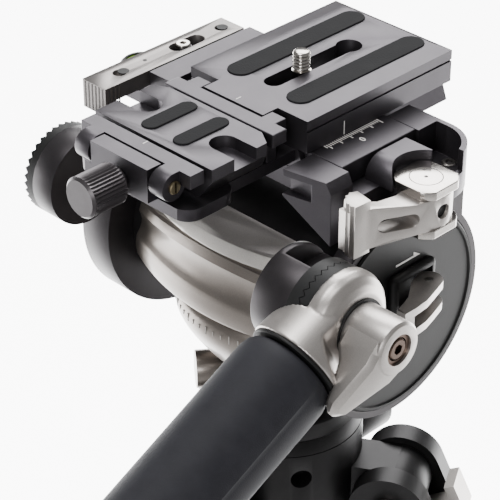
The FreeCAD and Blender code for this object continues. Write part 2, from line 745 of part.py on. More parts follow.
def build_platform():
    """Platform that carries the slide plate, with the fixed rail, the arms and the shelf."""
    whole = ("platform_front", "platform_back")
    floor = block("platform_floor", ("-left_inner", "right_wall"), whole, ("neck_top", "floor_top"))
    rail = prism("rail", "y", [
        ("-platform_left", "floor_top"), ("-platform_left", "left_top"),
        ("-left_step", "left_top"), ("-left_step", "rail_top"),
        ("-dove_neck - slide_gap", "rail_top"), ("-dove_foot - slide_gap", "floor_top")], whole)
    back_arm = block("back_arm", ("arm_inner", "right_wall"), ("back_arm_front", "platform_back"),
                     ("floor_top", "rail_top"))
    front_arm = prism("front_arm", "y", [
        ("arm_inner", "gusset_high"), ("arm_inner", "rail_top"), ("front_arm_outer - 2", "rail_top"),
        ("front_arm_outer", "rail_top - 4"), ("front_arm_outer", "gusset_low")],
        ("front_arm_end", "front_arm_back"))
    slant = prism("front_slant", "z", [
        ("arm_inner - 1", "front_arm_end - 1"), ("arm_inner - 1", "front_arm_end"),
        ("front_arm_outer + 1", "front_arm_end + arm_slant"), ("front_arm_outer + 1", "front_arm_end - 1")],
        ("gusset_low - 1", "rail_top + 1"))
    shelf = block("latch_shelf", ("-left_outer + 6", "-platform_left"), ("shelf_front", "platform_back"),
                  ("neck_top", "left_top - latch_thick - slide_gap"))
    stud = rod("latch_stud", "z", "latch_slot_half - run_gap",
               ("left_top - latch_thick - slide_gap", "left_top - 1"),
               ("-(latch_inner + latch_outer) / 2", "latch_slot_front + latch_slot_half + 3.8"))
    lug = block("level_lug", ("-level_x", "-left_outer + 8"),
                ("level_y - level_radius", "level_y + level_radius"), ("level_seat - 5", "level_seat"))
    lug_end = rod("level_lug_end", "z", "level_radius", ("level_seat - 5", "level_seat"),
                  ("-level_x", "level_y"))
    lug_web = block("level_web", ("-left_outer + 6", "-platform_left"),
                    ("level_y - level_radius", "shelf_front"), ("neck_top", "level_seat"))
    front_pocket = block("front_pocket", ("arm_inner - 1", "front_arm_outer - 7.5"),
                         ("front_arm_end - 1", "front_arm_end + arm_slant"),
                         ("gusset_high + 1", "rail_top - 2.5"))
    corner_rough = block("corner_pocket", ("corner_inner", "right_wall - corner_thick"),
                         ("lever_y", "platform_back - corner_thick"), ("corner_floor", "rail_top + 1"))
    corner_pocket = soften("corner_pocket_round", corner_rough, size("wall_round") - size("corner_thick"),
                           lambda edge: upright(edge)
                           and edge.CenterOfMass.x > size("right_wall") - 5
                           and edge.CenterOfMass.y > size("platform_back") - 5)
    solid = fuse("platform_solid", floor, rail, back_arm, front_arm, shelf, stud, lug,
                 lug_end, lug_web)
    rough = cut("platform_rough", solid, lever_clearance("platform"), front_pocket, slant,
                corner_pocket)
    corner = Vector(size("right_wall"), size("platform_back"), 0)
    rounded = soften("platform_round", rough, size("wall_round"), lambda edge: upright(edge)
                     and abs(edge.CenterOfMass.x - corner.x) < 0.01
                     and abs(edge.CenterOfMass.y - corner.y) < 0.01)
    node("platform", rounded)
    seat = "floor_top + slide_gap"
    jaw = prism("jaw_section", "y", [
        ("dove_foot + slide_gap", seat), ("dove_neck + slide_gap", "dove_top - slide_gap"),
        ("jaw_outer", "dove_top - slide_gap"), ("jaw_outer", seat)],
        ("front_arm_back + slide_gap", "back_arm_front - slide_gap"))
    node("pressure_jaw", jaw)
    cam = block("cam_raw", ("cam_inner", "cam_outer"), ("cam_front", "cam_back"),
                ("floor_top", "rail_top"))
    cam_solid = soften("cam_round_front", cam, size("cam_round"), lambda edge: abs(
        edge.CenterOfMass.y - size("cam_front")) < 0.1 and edge.CenterOfMass.z > size("rail_top") - 0.1)
    scoop = rod("cam_scoop", "z", "lever_room", ("floor_top", "plate_top"), ("lever_x", "lever_y"))
    node("cam_block", cut("cam_cut", cam_solid, scoop))


def build_clamp_lever():
    """Lever that works the pressure jaw: hub and arm, and the two caps with the axle."""
    low = "lever_low + lever_cap + slide_gap"
    high = "lever_high - lever_cap - slide_gap"
    hub = rod("lever_barrel", "z", "lever_radius", (low, high), ("lever_x", "lever_y"))
    arm = prism("lever_arm", "z", [
        ("lever_x + lever_radius", "lever_y"), ("lever_x + 8", "lever_y - 10"),
        ("lever_x + 1.5", "lever_y - 24"), ("lever_x - 1.5", "lever_y - 33.5"),
        ("lever_side + 1.5", "lever_y - 33.5"), ("lever_side + 1.5", "lever_y - 28"),
        ("lever_x - 5", "lever_y - 20"), ("lever_x - 4", "lever_y - 8")], (low, high))
    thumb = prism("lever_thumb", "z", [
        ("lever_x - 0.2", "lever_y - 27"), ("lever_x - 1.5", "lever_y - 33.5"),
        ("lever_side + 1.5", "lever_y - 33.5"), ("lever_side + 1.5", "lever_y - 28")],
        ("lever_low", "lever_high + 2"))
    slot = fuse(
        "lever_slot",
        block("lever_slot_mid", ("lever_side", "right_wall + 20"), ("lever_y - 24", "lever_y - 13"),
              ("(lever_low + lever_high) / 2 - 2.5", "(lever_low + lever_high) / 2 + 2.5")),
        rod("lever_slot_front", "x", "2.5", ("lever_side", "right_wall + 20"),
            ("lever_y - 24", "(lever_low + lever_high) / 2")),
        rod("lever_slot_back", "x", "2.5", ("lever_side", "right_wall + 20"),
            ("lever_y - 13", "(lever_low + lever_high) / 2")))
    eye = rod("lever_eye", "x", "2.7", ("lever_x + 4", "lever_x + 12"),
              ("lever_y - 1", "(lever_low + lever_high) / 2"))
    bore = rod("lever_bore", "z", "knob_shaft_radius", ("lever_low", "lever_high"),
               ("lever_x", "lever_y"))
    node("clamp_lever", cut("lever_cut", fuse("lever_solid", hub, arm, thumb), slot, eye, bore))
    caps = []
    for side, (start, end) in {"low": ("lever_low", low), "high": (high, "lever_high")}.items():
        square = block(f"cap_square_{side}", ("lever_x - lever_cap_half", "lever_x + lever_cap_half"),
                       ("lever_y - lever_cap_half", "lever_y + lever_cap_half"), (start, end))
        round_cap = rod(f"cap_round_{side}", "z", "lever_cap_round", (start, end),
                        ("lever_x", "lever_y"))
        caps.append(common(f"cap_{side}", square, round_cap))
    axle = rod("lever_axle", "z", "knob_shaft_radius", ("lever_low", "lever_high"),
               ("lever_x", "lever_y"))
    node("lever_hub", fuse("hub_caps", *caps, axle))


def rounded_slot(name, across, along, z):
    """Long hole or pad with round ends along Y."""
    middle = f"(({across[0]}) + ({across[1]})) / 2"
    half = f"(({across[1]}) - ({across[0]})) / 2"
    return fuse(
        name,
        block(f"{name}_mid", across, (f"{along[0]} + {half}", f"{along[1]} - {half}"), z),
        rod(f"{name}_rear", "z", half, z, (middle, f"{along[0]} + {half}")),
        rod(f"{name}_front", "z", half, z, (middle, f"{along[1]} - {half}")))


PAD_PLACES = {
    "left": (("-pad_outer", "-pad_inner"), ("pad_rear", "pad_front")),
    "right": (("pad_inner", "pad_outer"), ("pad_rear", "pad_front")),
    "bed_left": (("-bed_pad_outer", "-bed_pad_inner"), ("bed_pad_rear", "bed_pad_front")),
    "bed_right": (("bed_pad_inner", "bed_pad_outer"), ("bed_pad_rear", "bed_pad_front")),
}


def build_slide_plate():
    """Slide plate with its keyhole slot, the rubber pads, the camera screw and its washer."""
    section = prism("plate_section", "y", [
        ("-plate_half", "plate_top"), ("-plate_half", "dove_top"), ("-dove_neck", "dove_top"),
        ("-dove_foot", "plate_low"), ("dove_foot", "plate_low"), ("dove_neck", "dove_top"),
        ("plate_half", "dove_top"), ("plate_half", "plate_top")], ("plate_rear", "plate_front"))
    tongue = prism("tongue", "x", [
        ("plate_rear", "keel_top"), ("tongue_end + 4", "keel_top"), ("tongue_end", "plate_top - 8"),
        ("tongue_end", "plate_top"), ("plate_rear", "plate_top")], ("-tongue_half", "tongue_half"))
    keel = block("keel", ("-keel_half", "keel_half"), ("keel_end", "plate_rear"),
                 ("tab_low", "keel_top"))
    tab = soften("tab_round", block("tab", ("-tab_half", "tab_half"), ("keel_end", "tab_start"),
                                    ("tab_low", "keel_top")), 6, upright)
    slot = block("slot_cut", ("-slot_half", "slot_half"),
                 ("slot_rear + slot_half", "slot_eye"), ("plate_low - 1", "plate_top + 1"))
    slot_end = rod("slot_end", "z", "slot_half", ("plate_low - 1", "plate_top + 1"),
                   ("0", "slot_rear + slot_half"))
    slot_eye = rod("slot_keyhole", "z", "slot_eye_radius", ("plate_low - 1", "plate_top + 1"),
                   ("0", "slot_eye"))
    room = block("screw_room", ("-slot_room", "slot_room"),
                 ("slot_rear - 3.5", "slot_eye + slot_eye_radius"), ("plate_low - 1", "slot_room_top"))
    lines = [block(f"side_line_{side}", (low, high), ("plate_rear - 1", "plate_front + 1"),
                   ("side_line", "side_line + side_line_tall"))
             for side, low, high in (("left", "-plate_half - 1", "-plate_half + side_line_deep"),
                                     ("right", "plate_half - side_line_deep", "plate_half + 1"))]
    pockets = [rounded_slot(f"pocket_{side}", *PAD_PLACES[side],
                            ("plate_top - pad_deep", "plate_top + 1"))
               for side in ("left", "right")]
    solid = fuse("plate_solid", section, tongue, keel, tab)
    node("slide_plate", cut("plate_cut", solid, slot, slot_end, slot_eye, room, *lines, *pockets))
    pads = [rounded_slot(f"pad_{side}", *spot, ("plate_top - pad_deep", "plate_top + pad_proud"))
            for side, spot in PAD_PLACES.items()]
    node("rubber_pads", fuse("pad_set", *pads))
    spot = ("0", "screw_y")
    thread = rod("screw_thread", "z", "screw_radius", ("plate_low + 3.5", "plate_top + screw_tip - 0.6"),
                 spot)
    point = rod("screw_point", "z", "screw_radius", ("plate_top + screw_tip - 0.6",
                                                    "plate_top + screw_tip"), spot,
                "screw_radius - 0.6")
    collar = rod("screw_ring", "z", "screw_collar", ("plate_top + slide_gap", "plate_top + 1.6"), spot)
    head = rod("screw_head_disc", "z", "screw_head", ("plate_low + 1", "plate_low + 3.5"), spot)
    node("camera_screw", fuse("screw", thread, point, collar, head))
    washer = cut("washer", rod("washer_disc", "z", "slot_room - slide_gap",
                               ("plate_low + 3.7", "slot_room_top - slide_gap"), spot),
                 rod("washer_bore", "z", "screw_radius + pin_gap", ("plate_low + 3", "slot_room_top"),
                     spot))
    node("screw_washer", washer)


def build_rear_clamp():
    """Clamp on the tail of the slide plate: bed, fixed jaw, moving jaw, carriage and knob."""
    bed = prism("bed_section", "y", [
        ("-bed_left", "plate_top"), ("-bed_left", "plate_top - bed_lip"), ("-bed_foot", "keel_top"),
        ("bed_foot", "keel_top"), ("bed_right", "plate_top - bed_lip"), ("bed_right", "plate_top")],
        ("bed_rear", "bed_front"))
    recesses = []
    for side, sign in (("right", ""), ("left", "-")):
        near = f"{sign}(recess_inner + recess_half)"
        far = f"{sign}(bed_right + 2)"
        low, high = (near, far) if side == "right" else (far, near)
        floor = ("plate_top - recess_deep", "plate_top + 1")
        recesses.append(block(f"recess_box_{side}", (low, high),
                              ("recess_y - recess_half", "recess_y + recess_half"), floor))
        recesses.append(rod(f"recess_end_{side}", "z", "recess_half", floor, (near, "recess_y")))
    corners = []
    for side, sign in (("right", 1), ("left", -1)):
        corner = prism(f"bed_corner_{side}", "z", [
            (f"{sign} * (bed_right + 1)", "bed_front + 1"),
            (f"{sign} * (bed_right - bed_corner)", "bed_front + 1"),
            (f"{sign} * (bed_right - bed_corner)", "bed_front"),
            (f"{sign} * (bed_right + 1)", "bed_front - bed_corner * 0.75")],
            ("keel_top", "plate_top + 1"))
        corners.append(corner)
    pockets = [rounded_slot(f"pocket_{side}", *PAD_PLACES[side],
                            ("plate_top - pad_deep", "plate_top + 1"))
               for side in ("bed_left", "bed_right")]
    bore = rod("clamp_screw_bore", "y", "knob_shaft_radius + run_gap",
               ("bed_rear - 1", "clamp_screw_end + 3"), ("0", "clamp_knob_height"))
    node("clamp_bed", cut("bed_cut", bed, bore, *recesses, *corners, *pockets))
    jaw_low = "plate_top - jaw_thick"
    far_bar = block("far_bar", ("-jaw_half + 0.5", "jaw_half"), ("far_jaw_rear", "far_jaw_front"),
                    (jaw_low, "plate_top"))
    prongs = [block(f"far_prong_{side}", span, ("far_jaw_front", "prong_front"),
                    (jaw_low, "plate_top"))
              for side, span in (("left", ("-prong_outer", "-prong_inner")),
                                 ("right", ("prong_inner", "prong_outer")))]
    web = block("far_web", ("-keel_half", "keel_half"), ("far_jaw_rear + 1", "far_jaw_front - 1"),
                ("keel_top", jaw_low))
    node("far_jaw", fuse("far_jaw_solid", far_bar, web, *prongs))
    pin = ("pin_y", "pin_height")
    near_bar = block("near_bar", ("-jaw_half", "jaw_half"), ("near_jaw_rear", "near_jaw_front"),
                     (jaw_low, "plate_top"))
    knuckles = []
    for side, span in (("left", ("-prong_outer", "-prong_inner")),
                       ("right", ("prong_inner", "prong_outer"))):
        knuckles.append(rod(f"knuckle_{side}", "x", "knuckle_radius", span, pin))
        knuckles.append(block(f"knuckle_web_{side}", span, ("pin_y", "near_jaw_rear"),
                              ("pin_height - 1", "plate_top")))
    pin_bore = rod("knuckle_bore", "x", "jaw_pin_radius + pin_gap", ("-jaw_half", "jaw_half"), pin)
    node("near_jaw", cut("near_jaw_cut", fuse("near_jaw_solid", near_bar, *knuckles), pin_bore))
    carriage = block("carriage_block", ("-block_half", "block_half"), ("block_rear", "block_front"),
                     ("keel_top + slide_gap", "plate_top"))
    runner = block("carriage_runner", ("-block_half", "block_half"),
                   ("block_front", "bed_rear - 0.5"), ("keel_top + slide_gap", "keel_top + 2.5"))
    jaw_pin = rod("jaw_pin", "x", "jaw_pin_radius", ("-prong_outer - 0.5", "prong_outer + 0.5"), pin)
    screw_bore = rod("carriage_bore", "y", "knob_shaft_radius + pin_gap",
                     ("block_rear - 1", "block_front + 1"), ("0", "clamp_knob_height"))
    relief = rod("runner_relief", "y", "knob_shaft_radius + run_gap", ("block_front", "bed_rear"),
                 ("0", "clamp_knob_height"))
    node("jaw_carriage", cut("carriage_cut", fuse("carriage_solid", carriage, runner, jaw_pin),
                             screw_bore, relief))
    grip = rod("clamp_knob_grip", "y", "clamp_knob_radius", ("clamp_knob_rear", "clamp_knob_front"),
               ("0", "clamp_knob_height"))
    shaft = rod("clamp_knob_shaft", "y", "knob_shaft_radius", ("clamp_knob_front", "clamp_screw_end"),
                ("0", "clamp_knob_height"))
    node("clamp_knob", fuse("clamp_knob_solid", grip, shaft))


def build_latch():
    """Sliding latch bar on the left shelf, and the level beside it."""
    low = "left_top - latch_thick"
    across = ("-latch_outer", "-latch_inner")
    bar = block("latch_flat", across, ("latch_front", "latch_back"), (low, "left_top"))
    grip = block("latch_thumb", across, ("latch_front - latch_grip", "latch_front"),
                 ("left_top - 11", "left_top"))
    middle = "(latch_inner + latch_outer) / 2"
    slot = rounded_slot("latch_slot", (f"-({middle}) - latch_slot_half", f"-({middle}) + latch_slot_half"),
                        ("latch_slot_front", "latch_slot_back"), (f"{low} - 1", "left_top + 1"))
    holes = [rod(f"latch_hole_{index}", "z", "2.4", (f"{low} - 1", "left_top + 1"),
                 (f"-({middle})", spot))
             for index, spot in enumerate(("latch_front + 7", "latch_back - 6"))]
    node("latch_bar", cut("latch_cut", fuse("latch_solid", bar, grip), slot, *holes))
    level = rod("level_vial", "z", "level_radius", ("level_seat", "level_seat + level_tall"),
                ("-level_x", "level_y"))
    node("bubble_level", level)


def aim(item, degrees, x):
    """Turn an item drawn along -Y from the origin down by an angle, about the rosette axis."""
    item.Placement = FreeCAD.Placement(Vector(x, size("rosette_y"), size("rosette_height")),
                                       FreeCAD.Rotation(Vector(1, 0, 0), degrees))
    return item


def build_handle():
    """Pan handle: yoke with its rosette, bar with its collar, grip, and the locking wing lever."""
    drop = size("handle_drop")
    centre = ("0", "0")
    neck = rod("yoke_neck", "y", "neck_radius", ("-neck_end", "-8"), ("handle_x", "0"))
    room = rod("yoke_room", "x", "rosette_radius + run_gap * 2", ("0", "yoke_start"), centre)
    body = turned("yoke_dome", "x", [
        ("yoke_start", "0"), ("yoke_start", "yoke_radius"), ("yoke_start + 3.5", "yoke_radius"),
        ("yoke_start + 6.5", "yoke_radius - 1.5"), ("yoke_start + 8.7", "yoke_radius - 3.7"),
        ("yoke_end", "wing_hub_radius + 2"), ("yoke_end", "0")])
    ring = rod("yoke_ring", "x", "rosette_radius", ("ring_end + slide_gap", "yoke_start"), centre)
    bar_seat = rod("yoke_seat", "y", "bar_radius", ("-neck_end - 1", "bar_seat - neck_end"),
                   ("handle_x", "0"))
    side = prism("yoke_side", "z", [
        ("yoke_end", "0"), ("yoke_end", "6 - neck_end"), ("handle_x + neck_radius + 1", "0.5 - neck_end"),
        ("handle_x + neck_radius + 1", "0")], ("-neck_radius", "neck_radius"))
    bent = cut("yoke_neck_cut", neck, room, side)
    yoke = fuse("yoke_solid", bent, body, ring)
    axle_hole = rod("yoke_axle_hole", "x", "ring_bore", ("ring_end", "yoke_end + 1"), centre)
    node("handle_yoke", aim(cut("yoke_cut", yoke, bar_seat, axle_hole), drop, 0))
    bar = rod("bar_rod", "y", "bar_radius", ("-neck_end - seam_ring - grip_long + 8", "bar_seat - neck_end"),
              ("handle_x", "0"))
    collar = rod("bar_collar", "y", "neck_radius - 0.4", ("-neck_end - seam_ring", "-neck_end"),
                 ("handle_x", "0"))
    node("handle_bar", aim(fuse("bar_solid", bar, collar), drop, 0))
    start = "-neck_end - seam_ring"
    sleeve = rod("grip_sleeve", "y", "grip_radius", (f"{start} - grip_long", start), ("handle_x", "0"))
    smooth = soften("grip_smooth", sleeve, size("grip_round"),
                    lambda edge: edge.Curve.TypeId == "Part::GeomCircle")
    bore = rod("grip_bore", "y", "bar_radius", (f"{start} - grip_long + 8", f"{start} + 1"),
               ("handle_x", "0"))
    node("handle_grip", aim(cut("grip_cut", smooth, bore), drop, 0))
    base = "yoke_end + slide_gap"
    hub = rod("wing_hub", "x", "wing_hub_radius", (base, "wing_end"), centre)
    axle = rod("wing_axle", "x", "ring_bore - pin_gap", ("boss_outer - 4", base), centre)
    profile = prism("wing_side", "x", [
        ("1", "wing_hub_radius"), ("-6", "wing_hub_radius - 0.5"), ("-wing_reach", "wing_tip"),
        ("-wing_reach - 1", "0"), ("-wing_reach", "-wing_tip"), ("-6", "0.5 - wing_hub_radius"),
        ("1", "-wing_hub_radius")], (base, "wing_end"))
    plan = prism("wing_plan", "z", [
        (base, "1"), (base, "-8"), ("wing_inner", "-12.5"), ("wing_inner + 3", "-20"),
        ("wing_inner + 3.6", "-wing_reach - 2"), ("wing_end - 4.5", "-wing_reach - 2"),
        ("wing_end - 0.6", "-9"), ("wing_end", "1")], ("-wing_hub_radius", "wing_hub_radius"))
    wing = common("wing_blade", profile, plan)
    node("handle_lock_lever", aim(fuse("wing", hub, axle, wing), size("wing_drop"), 0))


build_crown()
build_column()
for leg_name, leg_turn in LEGS.items():
    build_leg(leg_name, leg_turn)
build_base()
build_housing()
build_cheeks()
build_tilt_lock()
build_platform()
build_clamp_lever()
build_slide_plate()
build_rear_clamp()
build_latch()
build_handle()
doc.recompute()

faults = [item.Name for item in doc.Objects if {"Invalid", "Error"} & set(item.State)]
faults += [name for name, item in nodes.items() if item.Shape.isNull() or not item.Shape.isValid()]
faults += [name for name, item in nodes.items() if not item.Shape.Solids]
if faults:
    raise RuntimeError(f"pieces that failed: {sorted(set(faults))}")

whole = FreeCAD.BoundBox()
for item in nodes.values():
    whole.add(item.Shape.BoundBox)
ground = FreeCAD.Placement(Vector(-whole.Center.x, -whole.Center.y, -whole.ZMin), FreeCAD.Rotation())

os.makedirs("parts", exist_ok=True)
for name, item in nodes.items():
    shape = item.Shape.copy()
    shape.Placement = ground * shape.Placement
    shape.exportStep(f"parts/{name}.step")
print(f"{len(nodes)} pieces, origin moved by {ground.Base}")
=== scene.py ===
"""Looks of a carbon-tube tripod with a fluid head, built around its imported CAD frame.

Every piece is placed from the frame: the datum is the camera screw's axis where it leaves the top
of the slide plate, with +X along the tilt axis to the right, +Y forward and +Z up, in millimetres.
"""
import json
import logging
import math
from collections.abc import Callable
from dataclasses import dataclass
from enum import Enum

import bpy
from mathutils import Matrix, Vector


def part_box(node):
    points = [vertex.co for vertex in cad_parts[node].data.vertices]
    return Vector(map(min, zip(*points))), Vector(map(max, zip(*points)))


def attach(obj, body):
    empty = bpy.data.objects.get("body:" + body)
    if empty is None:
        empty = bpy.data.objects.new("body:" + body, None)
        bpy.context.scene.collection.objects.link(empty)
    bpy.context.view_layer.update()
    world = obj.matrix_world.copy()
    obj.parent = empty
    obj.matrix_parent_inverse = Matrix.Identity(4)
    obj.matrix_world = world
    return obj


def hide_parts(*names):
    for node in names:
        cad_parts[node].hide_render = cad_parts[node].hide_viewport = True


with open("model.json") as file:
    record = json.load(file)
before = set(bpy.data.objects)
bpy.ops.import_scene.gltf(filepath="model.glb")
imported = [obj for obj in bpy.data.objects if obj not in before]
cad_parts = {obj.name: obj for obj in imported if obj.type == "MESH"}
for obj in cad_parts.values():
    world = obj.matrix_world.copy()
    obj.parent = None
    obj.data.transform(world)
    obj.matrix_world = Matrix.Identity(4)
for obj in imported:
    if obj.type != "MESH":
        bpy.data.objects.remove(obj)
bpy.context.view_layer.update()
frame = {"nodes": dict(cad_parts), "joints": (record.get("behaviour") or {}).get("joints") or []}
LOG = logging.getLogger("tripod")
MM = 0.001


def linear(code: str) -> tuple[float, float, float, float]:
    """Turn an sRGB hex colour into the linear values that nodes take.

    Args:
        code: the colour, such as "#8b8580".

    Returns:
        Red, green, blue and full alpha.
    """
    parts = [int(code[place:place + 2], 16) / 255 for place in (1, 3, 5)]
    return (*[c / 12.92 if c <= 0.04045 else ((c + 0.055) / 1.055) ** 2.4 for c in parts], 1.0)


def add_node(tree: bpy.types.NodeTree, kind: str, settings: dict | None = None,
             links: dict | None = None) -> bpy.types.Node:
    """Add a node with its settings and the links into it.

    Args:
        tree: the material's node tree.
        kind: the node's type, such as "ShaderNodeTexNoise".
        settings: attributes by name, and input values by socket name.
        links: output sockets by the name of the input that each feeds.

    Returns:
        The new node.
    """
    node = tree.nodes.new(kind)
    for name, value in (settings or {}).items():
        if hasattr(node, name):
            setattr(node, name, value)
        else:
            node.inputs[name].default_value = value
    for name, source in (links or {}).items():
        tree.links.new(source, node.inputs[name])
    return node


def operate(tree: bpy.types.NodeTree, operation: str,
            *values: bpy.types.NodeSocket | float) -> bpy.types.NodeSocket:
    """Add one arithmetic node.

    Args:
        tree: the material's node tree.
        operation: the node's operation, such as "MULTIPLY".
        values: its inputs in order, as sockets or numbers.

    Returns:
        The node's output.
    """
    node = add_node(tree, "ShaderNodeMath", {"operation": operation})
    for socket, value in zip(node.inputs, values):
        if isinstance(value, (int, float)):
            socket.default_value = value
        else:
            tree.links.new(value, socket)
    return node.outputs[0]


def blank(name: str) -> tuple[bpy.types.Material, bpy.types.NodeTree, bpy.types.Node, bpy.types.Node]:
    """Start a node material: itself, its tree, its shader and its coordinates."""
    material = bpy.data.materials.new(name)
    material.use_nodes = True
    tree = material.node_tree
    return material, tree, tree.nodes["Principled BSDF"], add_node(tree, "ShaderNodeTexCoord")


class Datum:
    """Frame of the head: millimetres from the camera screw's axis at the top of the plate."""

    def __init__(self) -> None:
        """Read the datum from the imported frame."""
        low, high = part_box("screw_washer")
        self.origin = Vector(((low[0] + high[0]) / 2, (low[1] + high[1]) / 2,
                              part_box("slide_plate")[1][2]))

    def at(self, x: float, y: float, z: float) -> Vector:
        """Turn millimetres in the head's frame into metres in the row frame."""
        return self.origin + Vector((x, y, z)) * MM


DATUM = Datum()


@dataclass(frozen=True)
class Metal:
    """Bead-blasted, coated or polished metal: fine grit, slight mottling, rubbed high spots."""

    name: str
    colour: str
    high: str
    roughness: float
    metallic: float = 1.0
    grit: float = 0.25
    depth: float = 0.02
    coat: float = 0.0

    def build(self) -> bpy.types.Material:
        """Make the node material."""
        material, tree, shader, place = blank(self.name)
        cloud = add_node(tree, "ShaderNodeTexNoise", {"Scale": 1 / (9 * MM), "Detail": 4.0},
                         {"Vector": place.outputs["Object"]})
        grain = add_node(tree, "ShaderNodeTexNoise", {"Scale": 1 / (self.grit * MM), "Detail": 3.0},
                         {"Vector": place.outputs["Object"]})
        ramp = add_node(tree, "ShaderNodeValToRGB", links={"Fac": cloud.outputs["Fac"]})
        ramp.color_ramp.elements[0].position = 0.3
        ramp.color_ramp.elements[1].position = 0.75
        ramp.color_ramp.elements[0].color = linear(self.colour)
        ramp.color_ramp.elements[1].color = linear(self.high)
        speck = add_node(tree, "ShaderNodeMapRange",
                         {"From Min": 0.25, "From Max": 0.75, "To Min": 0.86, "To Max": 1.12},
                         {"Value": grain.outputs["Fac"]})
        tone = add_node(tree, "ShaderNodeMix", {"data_type": "RGBA", "blend_type": "MULTIPLY"})
        tone.inputs[0].default_value = 1.0
        tree.links.new(ramp.outputs["Color"], tone.inputs[6])
        tree.links.new(speck.outputs["Result"], tone.inputs[7])
        gloss = add_node(tree, "ShaderNodeMapRange",
                         {"To Min": self.roughness - 0.05, "To Max": self.roughness + 0.07},
                         {"Value": grain.outputs["Fac"]})
        bump = add_node(tree, "ShaderNodeBump", {"Strength": 0.35, "Distance": self.depth * MM},
                        {"Height": grain.outputs["Fac"]})
        tree.links.new(tone.outputs[2], shader.inputs["Base Color"])
        tree.links.new(gloss.outputs["Result"], shader.inputs["Roughness"])
        tree.links.new(bump.outputs["Normal"], shader.inputs["Normal"])
        shader.inputs["Metallic"].default_value = self.metallic
        shader.inputs["Coat Weight"].default_value = self.coat
        return material


@dataclass(frozen=True)
class Polymer:
    """Moulded plastic, rubber or foam: pebbled skin, no metal, dull sheen."""

    name: str
    colour: str
    high: str
    roughness: float
    pebble: float = 0.5
    depth: float = 0.06
    sheen: float = 0.22

    def build(self) -> bpy.types.Material:
        """Make the node material."""
        material, tree, shader, place = blank(self.name)
        cells = add_node(tree, "ShaderNodeTexVoronoi", {"Scale": 1 / (self.pebble * MM)},
                         {"Vector": place.outputs["Object"]})
        cloud = add_node(tree, "ShaderNodeTexNoise", {"Scale": 1 / (6 * MM), "Detail": 5.0},
                         {"Vector": place.outputs["Object"]})
        ramp = add_node(tree, "ShaderNodeValToRGB", links={"Fac": cloud.outputs["Fac"]})
        ramp.color_ramp.elements[0].position = 0.35
        ramp.color_ramp.elements[1].position = 0.7
        ramp.color_ramp.elements[0].color = linear(self.colour)
        ramp.color_ramp.elements[1].color = linear(self.high)
        bump = add_node(tree, "ShaderNodeBump", {"Strength": 0.5, "Distance": self.depth * MM},
                        {"Height": cells.outputs["Distance"]})
        gloss = add_node(tree, "ShaderNodeMapRange",
                         {"To Min": self.roughness - 0.06, "To Max": self.roughness + 0.08},
                         {"Value": cloud.outputs["Fac"]})
        tree.links.new(ramp.outputs["Color"], shader.inputs["Base Color"])
        tree.links.new(gloss.outputs["Result"], shader.inputs["Roughness"])
        tree.links.new(bump.outputs["Normal"], shader.inputs["Normal"])
        shader.inputs["Specular IOR Level"].default_value = self.sheen
        return material


@dataclass(frozen=True)
class CarbonTwill:
    """Twill-woven carbon tube under satin lacquer; the weave follows the tube of one leg."""

    name: str
    azimuth: float
    spread: float
    pivot: tuple[float, float, float]
    tow: float = 2.2
    tows: int = 46

    def build(self) -> bpy.types.Material:
        """Make the node material."""
        material, tree, shader, place = blank(self.name)
        shift = add_node(tree, "ShaderNodeVectorMath", {"operation": "SUBTRACT"},
                         {"Vector": place.outputs["Object"]})
        shift.inputs[1].default_value = self.pivot
        about = add_node(tree, "ShaderNodeVectorRotate", {"rotation_type": "Z_AXIS",
                         "Angle": -math.radians(self.azimuth)}, {"Vector": shift.outputs[0]})
        swing = add_node(tree, "ShaderNodeVectorRotate", {"rotation_type": "Y_AXIS",
                         "Angle": math.radians(self.spread)}, {"Vector": about.outputs[0]})
        split = add_node(tree, "ShaderNodeSeparateXYZ", links={"Vector": swing.outputs[0]})
        turn = operate(tree, "ARCTAN2", split.outputs["Y"], split.outputs["X"])
        around = operate(tree, "MULTIPLY", turn, self.tows / (2 * math.pi))
        down = operate(tree, "MULTIPLY", split.outputs["Z"], 1 / (self.tow * MM))
        shifted = operate(tree, "MULTIPLY", operate(tree, "FLOOR", down), 0.25)
        over = operate(tree, "GREATER_THAN",
                       operate(tree, "FRACT", operate(tree, "ADD", around, shifted)), 0.5)
        tone = add_node(tree, "ShaderNodeMix", {"data_type": "RGBA"})
        tree.links.new(over, tone.inputs[0])
        tone.inputs[6].default_value = linear("#1b1b1d")
        tone.inputs[7].default_value = linear("#37373b")
        bump = add_node(tree, "ShaderNodeBump", {"Strength": 0.25, "Distance": 0.05 * MM},
                        {"Height": over})
        tree.links.new(tone.outputs[2], shader.inputs["Base Color"])
        tree.links.new(bump.outputs["Normal"], shader.inputs["Normal"])
        shader.inputs["Roughness"].default_value = 0.34
        shader.inputs["Coat Weight"].default_value = 0.5
        shader.inputs["Coat Roughness"].default_value = 0.12
        return material


